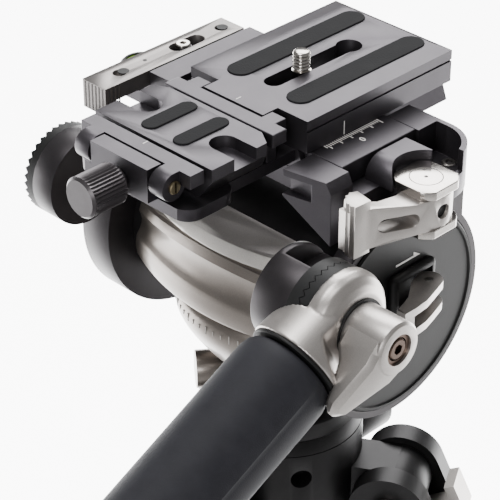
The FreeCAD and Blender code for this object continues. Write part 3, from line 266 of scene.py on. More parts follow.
class Finish(Enum):
    """The object's finishes."""

    # hard anodising over fine bead blast: even, dull glint, dark grey with a violet cast
    ANODISED = Metal("dark_anodised_aluminium", "#454246", "#4c494d", 0.4, 0.85, 0.22)
    # the same anodising on turned and machined side faces, darkened as painted shade
    PAINTED_SHADE_ANODISED = Metal("anodising_darkened_as_painted_shade", "#1f1e1f", "#272627", 0.42, 0.6, 0.4, 0.05)
    # darker anodising of the side discs and the cheeks of the head
    SHELL = Metal("disc_shell_anodising", "#343133", "#3b383a", 0.4, 0.8, 0.25)
    # metallic paint on the housing: warm grey with a soft glint
    TITANIUM = Metal("titanium_grey_paint", "#7d7670", "#867f79", 0.34, 0.85, 0.3, 0.01, 0.2)
    # bright satin aluminium of the levers and the yoke
    SATIN = Metal("satin_silver_aluminium", "#b1aca8", "#bcb7b3", 0.36, 0.9, 0.25, 0.012)
    # satin aluminium of the housing's top cover, made paler than the levers' satin as a painted highlight
    # for the bright crescent where it catches the light
    COVER = Metal("satin_cover_with_painted_highlight", "#cfcbc6", "#d8d4cf", 0.4, 0.7, 0.25, 0.01)
    # copper-toned steel of the small cap screws
    BRONZE = Metal("copper_toned_screw_steel", "#5d4e46", "#6b5a50", 0.28, 1.0, 0.3, 0.005)
    # greyer satin of the latch bar
    BAR = Metal("grey_satin_latch_bar", "#7f7b79", "#8a8684", 0.42, 0.9, 0.25, 0.012)
    # polished steel of the caps and the camera screw: sharp, bright reflections
    CHROME = Metal("polished_chrome", "#b9b4af", "#c4bfba", 0.16, 1.0, 0.5, 0.002)
    # plain bright steel of hook, washer and pins: soft grey reflections
    STEEL = Metal("plain_steel", "#8d8a86", "#999691", 0.3, 1.0, 0.3, 0.01)
    # dull brass of the guide pin: a faint warm tint
    BRASS = Metal("dull_brass_pin", "#857a60", "#948870", 0.35, 1.0, 0.3, 0.01)
    # grey anodising of the fluted knob: each flute's edge shows as a fine light line
    KNOB = Metal("grey_anodised_knob", "#4a4648", "#535052", 0.38, 0.8, 0.25)
    # black moulded nylon of the tooth rings and seams: dark, with little sheen; the same black also fills
    # the lever's bore and the latch's holes as painted shade
    BLACK = Polymer("black_nylon_and_painted_bore_shade", "#161616", "#1b1b1c", 0.5, 0.45, 0.03)
    # smooth black cover of the right disc: dark satin
    DISC = Polymer("black_disc_cover", "#161515", "#1b1a1a", 0.42, 0.35, 0.02)
    # pebbled rubber of pads and feet: nearly no sheen
    PAD = Polymer("pebbled_pad_rubber", "#141416", "#1a1a1c", 0.8, 0.55, 0.12)
    # matt rubber foam of the grip: blue-black, with a broad dull light along its top
    GRIP = Polymer("matt_grip_foam", "#222227", "#28282d", 0.66, 0.4, 0.05)
    # moulded rubber of the twist locks: dull black
    RUBBER = Polymer("ribbed_lock_rubber", "#1d1d1e", "#252526", 0.6, 0.6, 0.08)
    # white ink of scales, index lines and the arrow
    WHITE = Polymer("white_print_ink", "#e9e6e2", "#f2efec", 0.6, 0.3, 0.0)
    # worn pale ink of the pan scale: barely lighter than the paint
    PALE_INK = Polymer("pale_scale_ink", "#a9a5a0", "#b5b1ac", 0.5, 0.3, 0.0)
    # dark line where polished parts meet, and painted shade in the grooves of the latch's thumb
    SHADE = Polymer("dark_joint_line_and_painted_groove_shade", "#4a4543", "#544e4b", 0.4, 0.3, 0.0)
    # tinted fluid of the bubble level: clear bright green
    GREEN = Polymer("green_level_fluid", "#7fae2e", "#95c53f", 0.15, 2.0, 0.0)


BUILT: dict[str, bpy.types.Material] = {}


def finish_material(finish: Metal | Polymer | CarbonTwill) -> bpy.types.Material:
    """Build a finish once and return its material."""
    if finish.name not in BUILT:
        BUILT[finish.name] = finish.build()
    return BUILT[finish.name]


def dress(piece: bpy.types.Object, finish: Metal | Polymer | CarbonTwill) -> None:
    """Give a piece one finish all over."""
    piece.data.materials.clear()
    piece.data.materials.append(finish_material(finish))


NODE_FINISH: dict[Finish, tuple[str, ...]] = {
    Finish.ANODISED: ("slide_plate", "clamp_bed", "far_jaw", "near_jaw", "jaw_carriage", "platform",
                      "pressure_jaw", "cam_block"),
    Finish.SHELL: ("left_cheek", "right_cheek"),
    # painted shade: the drum, the base and the tripod's top parts take the darkened anodising
    Finish.PAINTED_SHADE_ANODISED: ("apex", "head_base", "tilt_drum", "column_lock_knob", "centre_column",
                     "leg_a_shoulder", "leg_b_shoulder", "leg_c_shoulder"),
    Finish.TITANIUM: ("body_housing", "pan_lock_knob"),
    # painted highlight: the top cover takes the paler copy of the satin
    Finish.COVER: ("body_cover",),
    Finish.BAR: ("latch_bar",),
    Finish.SATIN: ("clamp_lever", "handle_yoke", "handle_lock_lever", "tilt_lock_lever",
                   "leg_a_angle_stop", "leg_b_angle_stop", "leg_c_angle_stop"),
    Finish.CHROME: ("leg_pivot_bolts", "camera_screw", "lever_hub"),
    Finish.STEEL: ("ballast_hook", "screw_washer", "cover_screws"),
    Finish.KNOB: ("clamp_knob",),
    Finish.BLACK: ("head_rosettes", "handle_bar"),
    Finish.DISC: ("right_cover",),
    Finish.PAD: ("rubber_pads", "leg_a_rubber_foot", "leg_b_rubber_foot", "leg_c_rubber_foot"),
    Finish.GRIP: ("handle_grip",),
    Finish.RUBBER: tuple(f"leg_{leg}_{part}_lock" for leg in "abc" for part in ("upper", "lower")),
    Finish.GREEN: ("bubble_level",),
}


@dataclass
class CadSkin:
    """Finishes of the CAD nodes and the small edge break that machined pieces have."""

    edge: float = 0.35
    turn: float = 32.0

    def break_edges(self, piece: bpy.types.Object) -> None:
        """Bevel a CAD node's sharp edges with live modifiers, which leave its mesh alone."""
        weld = piece.modifiers.new("weld", "WELD")
        weld.merge_threshold = 0.002 * MM
        flat = piece.modifiers.new("flat", "DECIMATE")
        flat.decimate_type = "DISSOLVE"
        flat.angle_limit = math.radians(1.0)
        bevel = piece.modifiers.new("edge", "BEVEL")
        bevel.width = self.edge * MM
        bevel.segments = 2
        bevel.limit_method = "ANGLE"
        bevel.angle_limit = math.radians(self.turn)
        bevel.harden_normals = False

    def build(self) -> None:
        """Dress every CAD node."""
        for finish, names in NODE_FINISH.items():
            for name in names:
                dress(frame["nodes"][name], finish.value)
        for joint in frame["joints"]:
            name = joint["name"]
            if not (name.startswith("leg_") and name.endswith("_spread")):
                continue
            leg = name.split("_")[1]
            pivot = tuple(joint["pos_m"])
            axis = joint["axis"]
            azimuth = math.degrees(math.atan2(axis[0], -axis[1]))
            weave = CarbonTwill(f"carbon_twill_leg_{leg}", azimuth, 23.0, pivot)
            for part in ("upper", "middle", "lower"):
                dress(frame["nodes"][f"leg_{leg}_{part}_tube"], weave)
        for name, piece in frame["nodes"].items():
            if not name.startswith("leg_"):
                self.break_edges(piece)
        LOG.info("dressed %d CAD nodes", len(frame["nodes"]))


Outline = list[tuple[float, float]]
AXES = {
    "x": Matrix(((0, 0, 1, 0), (1, 0, 0, 0), (0, 1, 0, 0), (0, 0, 0, 1))),
    "y": Matrix(((0, 1, 0, 0), (0, 0, 1, 0), (1, 0, 0, 0), (0, 0, 0, 1))),
    "z": Matrix.Identity(4),
}


def at(axis: str, x: float = 0, y: float = 0, z: float = 0) -> Matrix:
    """Place of a piece drawn upwards, once its upward direction is turned along an axis."""
    return Matrix.Translation(DATUM.at(x, y, z)) @ AXES[axis]


def aimed(axis: str, degrees: float, x: float = 0) -> Matrix:
    """Place of a piece of the pan handle, turned down about the axis of the rosettes."""
    turn = Matrix.Rotation(math.radians(degrees), 4, "X")
    return Matrix.Translation(DATUM.at(x, -55, -43)) @ turn @ AXES[axis]


class Bench:
    """Hand tools: a piece starts from a primitive and is shaped by operators."""

    @staticmethod
    def clear() -> None:
        """Leave edit mode and select nothing."""
        if bpy.context.object and bpy.context.object.mode == "EDIT":
            bpy.ops.object.mode_set(mode="OBJECT")
        bpy.ops.object.select_all(action="DESELECT")

    @staticmethod
    def pick(piece: bpy.types.Object) -> None:
        """Select one piece alone."""
        Bench.clear()
        piece.select_set(True)
        bpy.context.view_layer.objects.active = piece

    @staticmethod
    def settle(piece: bpy.types.Object, place: Matrix) -> bpy.types.Object:
        """Move a piece to its place and put that place into its mesh."""
        Bench.pick(piece)
        piece.matrix_world = place @ piece.matrix_world
        bpy.ops.object.transform_apply(location=True, rotation=True, scale=True)
        return piece

    @staticmethod
    def modify(piece: bpy.types.Object, kind: str, **settings: object) -> bpy.types.Object:
        """Add one modifier with its settings and apply it."""
        Bench.pick(piece)
        modifier = piece.modifiers.new(kind.lower(), kind)
        for name, value in settings.items():
            setattr(modifier, name, value)
        bpy.ops.object.modifier_apply(modifier=modifier.name)
        return piece

    @staticmethod
    def outward() -> None:
        """Turn every face of the piece in edit mode outwards and leave edit mode."""
        bpy.ops.mesh.select_all(action="SELECT")
        bpy.ops.mesh.normals_make_consistent(inside=False)
        bpy.ops.object.mode_set(mode="OBJECT")

    @staticmethod
    def turn(name: str, steps: Outline, place: Matrix, sides: int = 72) -> bpy.types.Object:
        """Turn a solid from a disc that is extruded and resized from step to step.

        Args:
            name: the piece's name.
            steps: heights and radii, in millimetres.
            place: where the piece goes.
            sides: faces around.

        Returns:
            The closed piece.
        """
        Bench.clear()
        bpy.ops.mesh.primitive_circle_add(vertices=sides, radius=steps[0][1] * MM, fill_type="NGON")
        piece = bpy.context.object
        piece.name = name
        bpy.ops.object.mode_set(mode="EDIT")
        bpy.ops.mesh.select_all(action="SELECT")
        bpy.ops.transform.translate(value=(0, 0, steps[0][0] * MM))
        for (low, near), (high, far) in zip(steps, steps[1:]):
            move = {"value": (0, 0, (high - low) * MM)}
            bpy.ops.mesh.extrude_region_move(TRANSFORM_OT_translate=move)
            if far != near:
                grow = far / near
                bpy.ops.transform.resize(value=(grow, grow, 1), center_override=(0, 0, high * MM))
        Bench.outward()
        return Bench.settle(piece, place)

    @staticmethod
    def slab(name: str, outline: Outline, low: float, high: float, place: Matrix) -> bpy.types.Object:
        """Extrude a flat outline between two heights, all in millimetres."""
        Bench.clear()
        bpy.ops.mesh.primitive_circle_add(vertices=len(outline), radius=MM, fill_type="NGON")
        piece = bpy.context.object
        piece.name = name
        for vertex, (across, along) in zip(piece.data.vertices, outline):
            vertex.co = (across * MM, along * MM, low * MM)
        bpy.ops.object.mode_set(mode="EDIT")
        bpy.ops.mesh.select_all(action="SELECT")
        bpy.ops.mesh.extrude_region_move(TRANSFORM_OT_translate={"value": (0, 0, (high - low) * MM)})
        Bench.outward()
        return Bench.settle(piece, place)

    @staticmethod
    def brick(name: str, low: tuple[float, float, float], high: tuple[float, float, float],
              edge: float = 0.0) -> bpy.types.Object:
        """Make a block between two corners of the head's frame, with its edges broken."""
        Bench.clear()
        bpy.ops.mesh.primitive_cube_add(size=1)
        piece = bpy.context.object
        piece.name = name
        middle = [(a + b) / 2 for a, b in zip(low, high)]
        sides = [(b - a) * MM for a, b in zip(low, high)]
        Bench.settle(piece, Matrix.Translation(DATUM.at(*middle)) @ Matrix.Diagonal((*sides, 1)))
        return Bench.soften(piece, edge, 2) if edge else piece

    @staticmethod
    def soften(piece: bpy.types.Object, width: float, steps: int = 3,
               angle: float = 32) -> bpy.types.Object:
        """Round the sharp edges of a piece by a width in millimetres."""
        return Bench.modify(piece, "BEVEL", width=width * MM, segments=steps, limit_method="ANGLE",
                            angle_limit=math.radians(angle), use_clamp_overlap=True)

    @staticmethod
    def carve(piece: bpy.types.Object, *tools: bpy.types.Object) -> bpy.types.Object:
        """Take tools away from a piece and throw the tools away."""
        for tool in tools:
            Bench.modify(piece, "BOOLEAN", object=tool, operation="DIFFERENCE", solver="EXACT")
            bpy.data.objects.remove(tool)
        return piece

    @staticmethod
    def unite(piece: bpy.types.Object, *others: bpy.types.Object) -> bpy.types.Object:
        """Join other pieces to a piece as one solid."""
        for other in others:
            Bench.modify(piece, "BOOLEAN", object=other, operation="UNION", solver="EXACT")
            bpy.data.objects.remove(other)
        return piece

    @staticmethod
    def gather(piece: bpy.types.Object, *others: bpy.types.Object) -> bpy.types.Object:
        """Put separate pieces into one object without cutting them."""
        Bench.pick(piece)
        for other in others:
            other.select_set(True)
        bpy.ops.object.join()
        return piece

    @staticmethod
    def melt(piece: bpy.types.Object, voxel: float, rounds: int) -> bpy.types.Object:
        """Run a piece's shapes into each other, as a forging's shapes do."""
        Bench.modify(piece, "REMESH", mode="VOXEL", voxel_size=voxel * MM)
        return Bench.modify(piece, "SMOOTH", factor=0.5, iterations=rounds)

    @staticmethod
    def ring(name: str, inner: float, outer: float, low: float, high: float, place: Matrix,
             sides: int = 72) -> bpy.types.Object:
        """Make a flat ring."""
        disc = Bench.turn(name, [(low, outer), (high, outer)], place, sides)
        bore = Bench.turn("bore", [(low - 1, inner), (high + 1, inner)], place, sides)
        return Bench.carve(disc, bore)

    @staticmethod
    def mount(piece: bpy.types.Object, finish: "Finish", body: str, *nodes: str,
              angle: float = 32) -> bpy.types.Object:
        """Shade, dress and attach a finished piece, in place of nodes if any are named."""
        Bench.pick(piece)
        bpy.ops.object.shade_smooth_by_angle(angle=math.radians(angle))
        dress(piece, finish.value)
        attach(piece, body)
        if nodes:
            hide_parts(*nodes)
        LOG.info("made %s", piece.name)
        return piece


def choose(piece: bpy.types.Object, test: Callable[[Vector], bool]) -> None:
    """Open a piece in edit mode with the points that pass a test selected.

    Args:
        piece: the piece to open.
        test: takes a point in millimetres, in the piece's own frame.
    """
    Bench.pick(piece)
    bpy.ops.object.mode_set(mode="EDIT")
    bpy.ops.mesh.select_mode(type="VERT")
    bpy.ops.mesh.select_all(action="DESELECT")
    bpy.ops.object.mode_set(mode="OBJECT")
    for vertex in piece.data.vertices:
        vertex.select = test(vertex.co / MM)
    bpy.ops.object.mode_set(mode="EDIT")


def squeeze(piece: bpy.types.Object, test: Callable[[Vector], bool], grow: tuple[float, float, float],
            centre: tuple[float, float, float] = (0, 0, 0)) -> bpy.types.Object:
    """Resize the points of a piece that pass a test, about a centre in millimetres."""
    choose(piece, test)
    bpy.ops.transform.resize(value=grow, center_override=Vector(centre) * MM)
    bpy.ops.object.mode_set(mode="OBJECT")
    return piece


def slice_off(piece: bpy.types.Object, height: float, keep_above: bool) -> bpy.types.Object:
    """Cut a piece at a height of the head's frame and keep one side, closed."""
    Bench.pick(piece)
    bpy.ops.object.mode_set(mode="EDIT")
    bpy.ops.mesh.select_all(action="SELECT")
    bpy.ops.mesh.bisect(plane_co=DATUM.at(0, 0, height), plane_no=(0, 0, 1), use_fill=True,
                        clear_inner=keep_above, clear_outer=not keep_above)
    Bench.outward()
    return piece


def socket_screw(name: str, radius: float, low: float, high: float, key: float,
                 place: Matrix) -> bpy.types.Object:
    """Cap screw: a chamfered head with a hexagonal socket."""
    head = Bench.turn(name, [(low, radius), (high - 0.4, radius), (high, radius - 0.4)], place, 40)
    depth = min(1.6, (high - low) * 0.6)
    return Bench.carve(head, Bench.turn("key", [(high - depth, key), (high + 1, key)], place, 6))


def capsule(length: tuple[float, float], half: float, across: float = 0, steps: int = 10) -> Outline:
    """Outline of a long hole: straight sides with round ends, along the first direction."""
    low, high = length[0] + half, length[1] - half
    turns = [math.pi * (step / steps - 0.5) for step in range(steps + 1)]
    far = [(high + half * math.cos(t), across + half * math.sin(t)) for t in turns]
    near = [(low - half * math.cos(t), across - half * math.sin(t)) for t in turns]
    return far + near


@dataclass
class PanHandle:
    """Pan handle: toothed rings, forged yoke, wing lever and foam grip."""

    drop: float = 26
    wing_drop: float = 42
    teeth: int = 36
    tooth: float = 0.7
    ring: float = 17
    line: float = 69

    def toothed_ring(self, name: str, base: float, end: float, place: Matrix) -> bpy.types.Object:
        """Ring whose far face has radial teeth, which show as a zigzag on its rim."""
        ring = Bench.turn(name, [(base, 5.6), (base, self.ring), (end, self.ring), (end, 5.6)],
                          Matrix.Identity(4), self.teeth * 2)
        step = math.pi / self.teeth
        for vertex in ring.data.vertices:
            point = vertex.co / MM
            if abs(point.z - end) < 0.01 and math.hypot(point.x, point.y) > 10:
                number = round(math.atan2(point.y, point.x) / step)
                vertex.co.z += self.tooth * MM * (1 if number % 2 else -1)
        return Bench.settle(ring, place)

    def rosettes(self) -> None:
        """Both fixed rings of the head and the ring of the yoke."""
        right = self.toothed_ring("head_tooth_rings", 61, 65.3, aimed("x", 0))
        left = self.toothed_ring("left_ring", -61, -64.9, aimed("x", 0))
        bores = [Bench.turn("bore", [(-66, 5.5), (-57, 5.5)], aimed("x", 0), 40)]
        rings = Bench.gather(right, Bench.carve(left, *bores))
        Bench.mount(rings, Finish.BLACK, "tilt_stage", "head_rosettes", angle=20)
        moving = self.toothed_ring("yoke_tooth_ring", 69.4, 65.65, aimed("x", 0))
        Bench.mount(moving, Finish.BLACK, "handle", angle=20)

    def yoke(self) -> None:
        """Forged yoke: domed hub that runs into the neck, hollowed beside the wing lever."""
        dome = Bench.turn("pan_handle_yoke", [(69.3, 17.3), (72.6, 17.4), (75.2, 16.4), (77.3, 14.3),
                                              (78.6, 11.9), (78.9, 4)], aimed("x", self.drop))
        neck = Bench.turn("neck", [(-5, 15.4), (-13, 16.2), (-20.9, 16.9)],
                          aimed("y", self.drop, self.line))
        room = Bench.turn("room", [(40, 17.5), (69.2, 17.5)], aimed("x", self.drop))
        side = Bench.slab("side", [(79, 6), (79, -13), (81.5, -16), (84, -18), (88, -20.4), (88, 6)],
                          -20, 20, aimed("z", self.drop))
        neck = Bench.carve(neck, room, side)
        yoke = Bench.melt(Bench.unite(dome, neck), 0.45, 7)
        seat = Bench.turn("seat", [(60, 9.9), (90, 9.9)], aimed("x", self.drop))
        Bench.mount(Bench.carve(yoke, seat), Finish.SATIN, "handle", "handle_yoke", angle=50)
        core = Bench.turn("yoke_core", [(69.5, 9.8), (78.4, 9.8), (78.8, 9.5)], aimed("x", self.drop))
        Bench.mount(core, Finish.BLACK, "handle")

    def wing(self) -> None:
        """Wing lever: faceted blade on a hub, with a socket screw in its end."""
        profile = [(1, 9.4), (-6, 9), (-27, 4), (-28.3, 1), (-28.3, -1), (-27, -4), (-6, -9), (1, -9.4)]
        plan = [(79.4, 1), (79.4, -8), (82.2, -12.5), (83.6, -20), (84.3, -29.5), (88.6, -29.5),
                (95.2, -10), (95.8, 1)]
        blade = Bench.slab("wing_lever", profile, 79.3, 96, aimed("x", self.wing_drop))
        top = Bench.slab("plan", plan, -10, 10, aimed("z", self.wing_drop))
        Bench.modify(blade, "BOOLEAN", object=top, operation="INTERSECT", solver="EXACT")
        bpy.data.objects.remove(top)
        Bench.soften(blade, 2.0, 1, 40)
        hub = Bench.turn("hub", [(79.3, 9.4), (94.8, 9.4), (95.9, 8.5)],
                         aimed("x", self.wing_drop))
        wing = Bench.soften(Bench.unite(blade, hub), 0.45, 2, 24)
        seat = Bench.turn("seat", [(92.3, 5.5), (97, 5.5)], aimed("x", self.wing_drop))
        Bench.mount(Bench.carve(wing, seat), Finish.SATIN, "handle_wing", "handle_lock_lever", angle=28)
        screw = socket_screw("wing_screw", 3.7, 88, 95.4, 1.9, aimed("x", self.wing_drop))
        cup = Bench.ring("wing_screw_cup", 4.1, 5.4, 88, 95, aimed("x", self.wing_drop))
        screw = Bench.gather(screw, cup)
        Bench.mount(screw, Finish.BRONZE, "handle_wing")
        washer = Bench.ring("wing_washer", 3, 10.4, 78.6, 79.35, aimed("x", self.drop))
        Bench.mount(washer, Finish.BLACK, "handle_wing")

    def foam_grip(self) -> None:
        """Moulded grip with a round shoulder, a flatter flank below a crease, and a round end."""
        steps = [(-22.2, 12.4), (-22.5, 13.9), (-23.4, 15.4), (-25.2, 16.6), (-28, 17.2), (-32, 17.3)]
        steps += [(-32.0 - 20 * step, 17.3) for step in range(1, 10)]
        steps += [(-215.5, 17), (-218.4, 15.6), (-219.8, 13.4), (-220.2, 10)]
        grip = Bench.turn("handle_foam_grip", steps, Matrix.Identity(4), 96)

        def flank(point: Vector) -> bool:
            """True below the crease on the outer side."""
            return -64 < math.degrees(math.atan2(point.x, point.y)) < 15 and -214 < point.z < -24.5

        squeeze(grip, flank, (0.972, 0.972, 1))
        grip = Bench.settle(grip, aimed("y", self.drop, self.line))
        bore = Bench.turn("bore", [(-212, 9), (-22, 9)], aimed("y", self.drop, self.line))
        Bench.mount(Bench.carve(grip, bore), Finish.GRIP, "handle", "handle_grip", angle=24)

    def build(self) -> None:
        """Make the pan handle."""
        self.rosettes()
        self.yoke()
        self.wing()
        self.foam_grip()


@dataclass
class Housing:
    """Housing of the drag unit: crowned barrel with its relief, cover, bowl, screws and scale."""

    radius: float = 42
    end_radius: float = 31.6
    half: float = 45
    room: float = 29
    cover_low: float = -53.1
    cover_high: float = -49
    skirt: float = -78.6

    def barrel(self, name: str) -> bpy.types.Object:
        """Crowned barrel about the tilt axis, drawn about its own axis."""
        rows = [self.half * (step / 15 - 1) for step in range(31)]
        drop = self.radius - self.end_radius
        steps = [(row, self.radius - drop * (row / self.half) ** 2) for row in rows]
        return Bench.turn(name, steps, Matrix.Identity(4), 216)

    @staticmethod
    def relief(angle: float) -> float:
        """Height of the relief, in millimetres, at an angle above the horizontal."""
        if angle > 25.2:
            return -0.9
        if angle > 18.5:
            return 0.0
        if angle > 3:
            return -0.6 - 1.9 * math.sin(math.pi * (angle - 3) / 15.5) ** 0.8
        if angle > -7:
            return -0.6 * math.sin(math.pi / 2 * max(0.0, (angle + 7) / 10)) ** 2 + 0.3
        return 0.3

    def shell(self) -> None:
        """Barrel with its relief, the waist below it and the bowl."""
        barrel = self.barrel("drag_unit_housing")
        for vertex in barrel.data.vertices:
            point = vertex.co / MM
            across = math.hypot(point.x, point.y)
            if across > 1:
                angle = math.degrees(math.atan2(point.y, abs(point.x)))
                grow = 1 + self.relief(angle) / across
                vertex.co.x *= grow
                vertex.co.y *= grow
        barrel = Bench.settle(barrel, at("x", 0, -7, -71.5))
        barrel = slice_off(slice_off(barrel, self.cover_low - 0.15, False), self.skirt, True)
        barrel = Bench.soften(barrel, 0.7, 2, 50)
        waist = Bench.turn("waist", [(-83, 34.6), (-74, 34.6)], at("z", 0, -7), 96)
        bowl = Bench.turn("bowl", [
            (-113, 24.4), (-112, 24.9), (-110, 26.6), (-106, 29.9), (-102, 32.9), (-98, 35.7),
            (-94, 38.1), (-90.5, 39.6), (-87, 40.2), (-84, 39.7), (-82.4, 38.6), (-81.6, 37.2),
            (-81.4, 33)], at("z", 0, -7), 120)
        pocket = Bench.turn("pocket", [(-114, 10.3), (-107, 10.3)], at("z", 0, -7), 48)
        bowl = Bench.carve(bowl, pocket)
        parts = []
        for part in (barrel, waist, bowl):
            room = Bench.turn("room", [(-60, self.room), (60, self.room)], at("x", 0, -7, -71.5), 96)
            parts.append(Bench.carve(part, room))
        Bench.mount(Bench.gather(*parts), Finish.TITANIUM, "pan_stage", "body_housing", angle=30)

    def cover(self) -> None:
        """Top cover: slice of the crowned barrel with counterbores for its screws."""
        cover = Bench.settle(self.barrel("drag_unit_cover"), at("x", 0, -7, -71.5))
        cover = slice_off(slice_off(cover, self.cover_high, False), self.cover_low, True)
        room = Bench.turn("room", [(-60, self.room), (60, self.room)], at("x", 0, -7, -71.5), 96)
        spots = [(x, y) for x in (-26, 26) for y in (-31.5, 17.5)]
        bores = [Bench.turn("bore", [(-51.2, 3.9), (-48, 3.9)], at("z", x, y), 40) for x, y in spots]
        cover = Bench.soften(Bench.carve(cover, room, *bores), 0.5, 2, 40)
        Bench.mount(cover, Finish.COVER, "pan_stage", "body_cover", angle=40)
        screws = [socket_screw("cover_cap_screws", 2.7, -51.4, -49.5, 1.4, at("z", x, y))
                  for x, y in spots]
        Bench.mount(Bench.gather(*screws), Finish.BRONZE, "pan_stage", "cover_screws")

    def scale(self) -> None:
        """Faint engraved divisions of the pan scale around the bowl."""
        ticks = []
        for number in range(72):
            turn = Matrix.Rotation(math.radians(5 * number), 4, "Z")
            length = 3.2 if number % 3 == 0 else 1.8
            place = Matrix.Translation(DATUM.at(0, -7, 0)) @ turn
            ticks.append(Bench.slab("pan_scale", [(39.5, -0.2), (40.28, -0.2), (40.28, 0.2), (39.5, 0.2)],
                                    -86.3 - length / 2, -86.3 + length / 2, place))
        Bench.mount(Bench.gather(*ticks), Finish.PALE_INK, "pan_stage")

    def build(self) -> None:
        """Make the housing."""
        self.shell()
        self.cover()
        self.scale()


@dataclass
class ClampLever:
    """Lever that clamps the slide plate: slotted arm with a ridged thumb end, and its caps."""

    x: float = 61
    y: float = -4
    low: float = -30.8
    high: float = -19.2
    middle: float = -25

    def arm(self) -> None:
        """Hub, arm and thumb end with their slot and hole."""
        hub = Bench.turn("plate_clamp_lever", [(self.low, 8.8), (self.low + 0.4, 9.2),
                                               (self.high - 0.4, 9.2), (self.high, 8.8)],
                         at("z", self.x, self.y))
        outline = [(70.2, -4), (69.4, -10), (67.4, -16), (63.8, -23.5), (60.6, -30), (59.6, -37.3),
                   (53, -37.3), (54.4, -30), (57.2, -23), (58.6, -16), (57, -8)]
        arm = Bench.slab("arm", outline, self.low, self.high, at("z"))
        middle = DATUM.at(0, 0, self.middle) / MM
        arm = squeeze(arm, lambda point: point.y < DATUM.at(0, -26, 0).y / MM, (1, 1, 1.3), tuple(middle))
        ridge = [(60.4, -30.5), (59.9, -37.4)]
        for step in range(11):
            turn = math.radians(-80 - 11 * step)
            reach = 6.2 if step % 2 else 5.5
            ridge.append((58.2 + reach * math.cos(turn), -31.6 + reach * math.sin(turn)))
        ridge.append((53.4, -29.2))
        thumb = Bench.slab("thumb", ridge, -33.9, -14.2, at("z"))
        lever = Bench.unite(hub, arm, thumb)
        slot = Bench.slab("slot", capsule((-28, -14.5), 2.6, self.middle), 40, 80, at("x"))
        eye = Bench.turn("eye", [(62, 2.7), (75, 2.7)], at("x", 0, -5.2, self.middle), 40)
        lever = Bench.soften(Bench.carve(lever, slot, eye), 0.5, 2, 35)
        Bench.mount(lever, Finish.SATIN, "lever", "clamp_lever", angle=38)

    def marks(self) -> None:
        """Black plug as painted shade in the hub's bore, and the pivot's ring and centre on the upper cap.
        """
        # painted shade: a black plug inside the bore makes it read dark
        plug = Bench.turn("lever_bore_shade", [(64, 2.66), (68.8, 2.66)], at("x", 0, -5.2, self.middle), 32)
        Bench.mount(plug, Finish.BLACK, "lever")
        ring = Bench.ring("pivot_ring_line", 5.45, 5.8, -16.1, -15.98, at("z", self.x, self.y))
        dot = Bench.turn("dot", [(-16.1, 0.7), (-15.98, 0.7)], at("z", self.x, self.y), 24)
        Bench.mount(Bench.gather(ring, dot), Finish.SHADE, "lever")

    def build(self) -> None:
        """Make the lever."""
        self.arm()
        self.marks()


@dataclass
class TiltLock:
    """Forked tilt lock lever on the right cover, with the arrow that shows which way it frees."""

    x: float = 61.8
    y: float = -0.8

    def prong(self, name: str, low: float) -> bpy.types.Object:
        """One prong: round eye, waist and broad front end."""
        turns = [math.radians(10 + 16 * step) for step in range(11)]
        eye = [(self.x + 5 * math.cos(t), self.y + 5 * math.sin(t)) for t in turns]
        outline = eye + [(58.6, -6), (61.4, -10), (64.2, -14), (65.6, -18), (66.8, -22.4),
                         (70.4, -22.4), (70.5, -17), (70, -11), (68.6, -6)]
        prong = Bench.slab(name, outline, low, low + 3, at("z"))
        return Bench.carve(prong, Bench.turn("eye", [(low - 1, 1.6), (low + 4, 1.6)],
                                             at("z", self.x, self.y), 32))

    def build(self) -> None:
        """Make the fork, its pin and the arrow."""
        upper = self.prong("tilt_lock_fork", -60.5)
        lower = self.prong("lower", -69.1)
        web = Bench.brick("web", (66.6, -22.4, -69.1), (70.4, -17.6, -57.5))
        fork = Bench.soften(Bench.unite(upper, lower, web), 0.7, 3, 40)
        Bench.mount(fork, Finish.SATIN, "tilt_lock", "tilt_lock_lever", angle=40)
        pin = Bench.turn("fork_pin", [(-69, 1.5), (-57.8, 1.5), (-57.4, 1.1)],
                         at("z", self.x, self.y), 32)
        Bench.mount(pin, Finish.STEEL, "tilt_lock")
        shaft = Bench.slab("release_arrow", [(-10.6, -50.6), (-1.6, -50.6), (-1.6, -49.2), (1.7, -51.3),
                                             (-10.6, -51.3)], 55.25, 55.42, at("x"))
        Bench.mount(shaft, Finish.WHITE, "tilt_stage")


@dataclass
class RearClamp:
    """Rear clamp of the slide plate: fluted knob and carriage pin."""

    flutes: int = 36
    height: float = -9

    def fluted_knob(self) -> None:
        """Knob with straight flutes, a plain collar and its screw."""
        steps = [(-85.5, 5.4), (-86.6, 5.4), (-86.8, 6.6), (-87.3, 7.2), (-88.6, 7.2), (-98.8, 7.2),
                 (-100.6, 7.2), (-101.5, 6.3)]
        knob = Bench.turn("rear_clamp_knob", steps, Matrix.Identity(4), self.flutes * 4)
        step = math.pi / self.flutes / 2
        for vertex in knob.data.vertices:
            point = vertex.co / MM
            if -99 < point.z < -88 and math.hypot(point.x, point.y) > 7:
                number = round(math.atan2(point.y, point.x) / step) % 4
                grow = (1.0, 0.965, 0.925, 0.965)[number]
                vertex.co.x *= grow
                vertex.co.y *= grow
        Bench.settle(knob, at("y", 0, 0, self.height))
        shaft = Bench.turn("clamp_shaft", [(-59.4, 2.6), (-60, 3), (-84.5, 3), (-85.6, 3)],
                           at("y", 0, 0, self.height), 48)
        Bench.mount(Bench.gather(knob, shaft), Finish.KNOB, "carriage_knob", "clamp_knob", angle=34)

    def pin(self) -> None:
        """Slotted end of the brass guide pin in the carriage."""
        pin = Bench.turn("carriage_pin_end", [(21, 2.3), (21.6, 2.3), (21.9, 2.0)],
                         at("x", 0, -80, -5), 32)
        slot = Bench.brick("slot", (21.5, -80.35, -8), (23, -79.65, -2))
        Bench.mount(Bench.carve(pin, slot), Finish.BRASS, "carriage")

    def build(self) -> None:
        """Make the clamp's trim."""
        self.fluted_knob()
        self.pin()


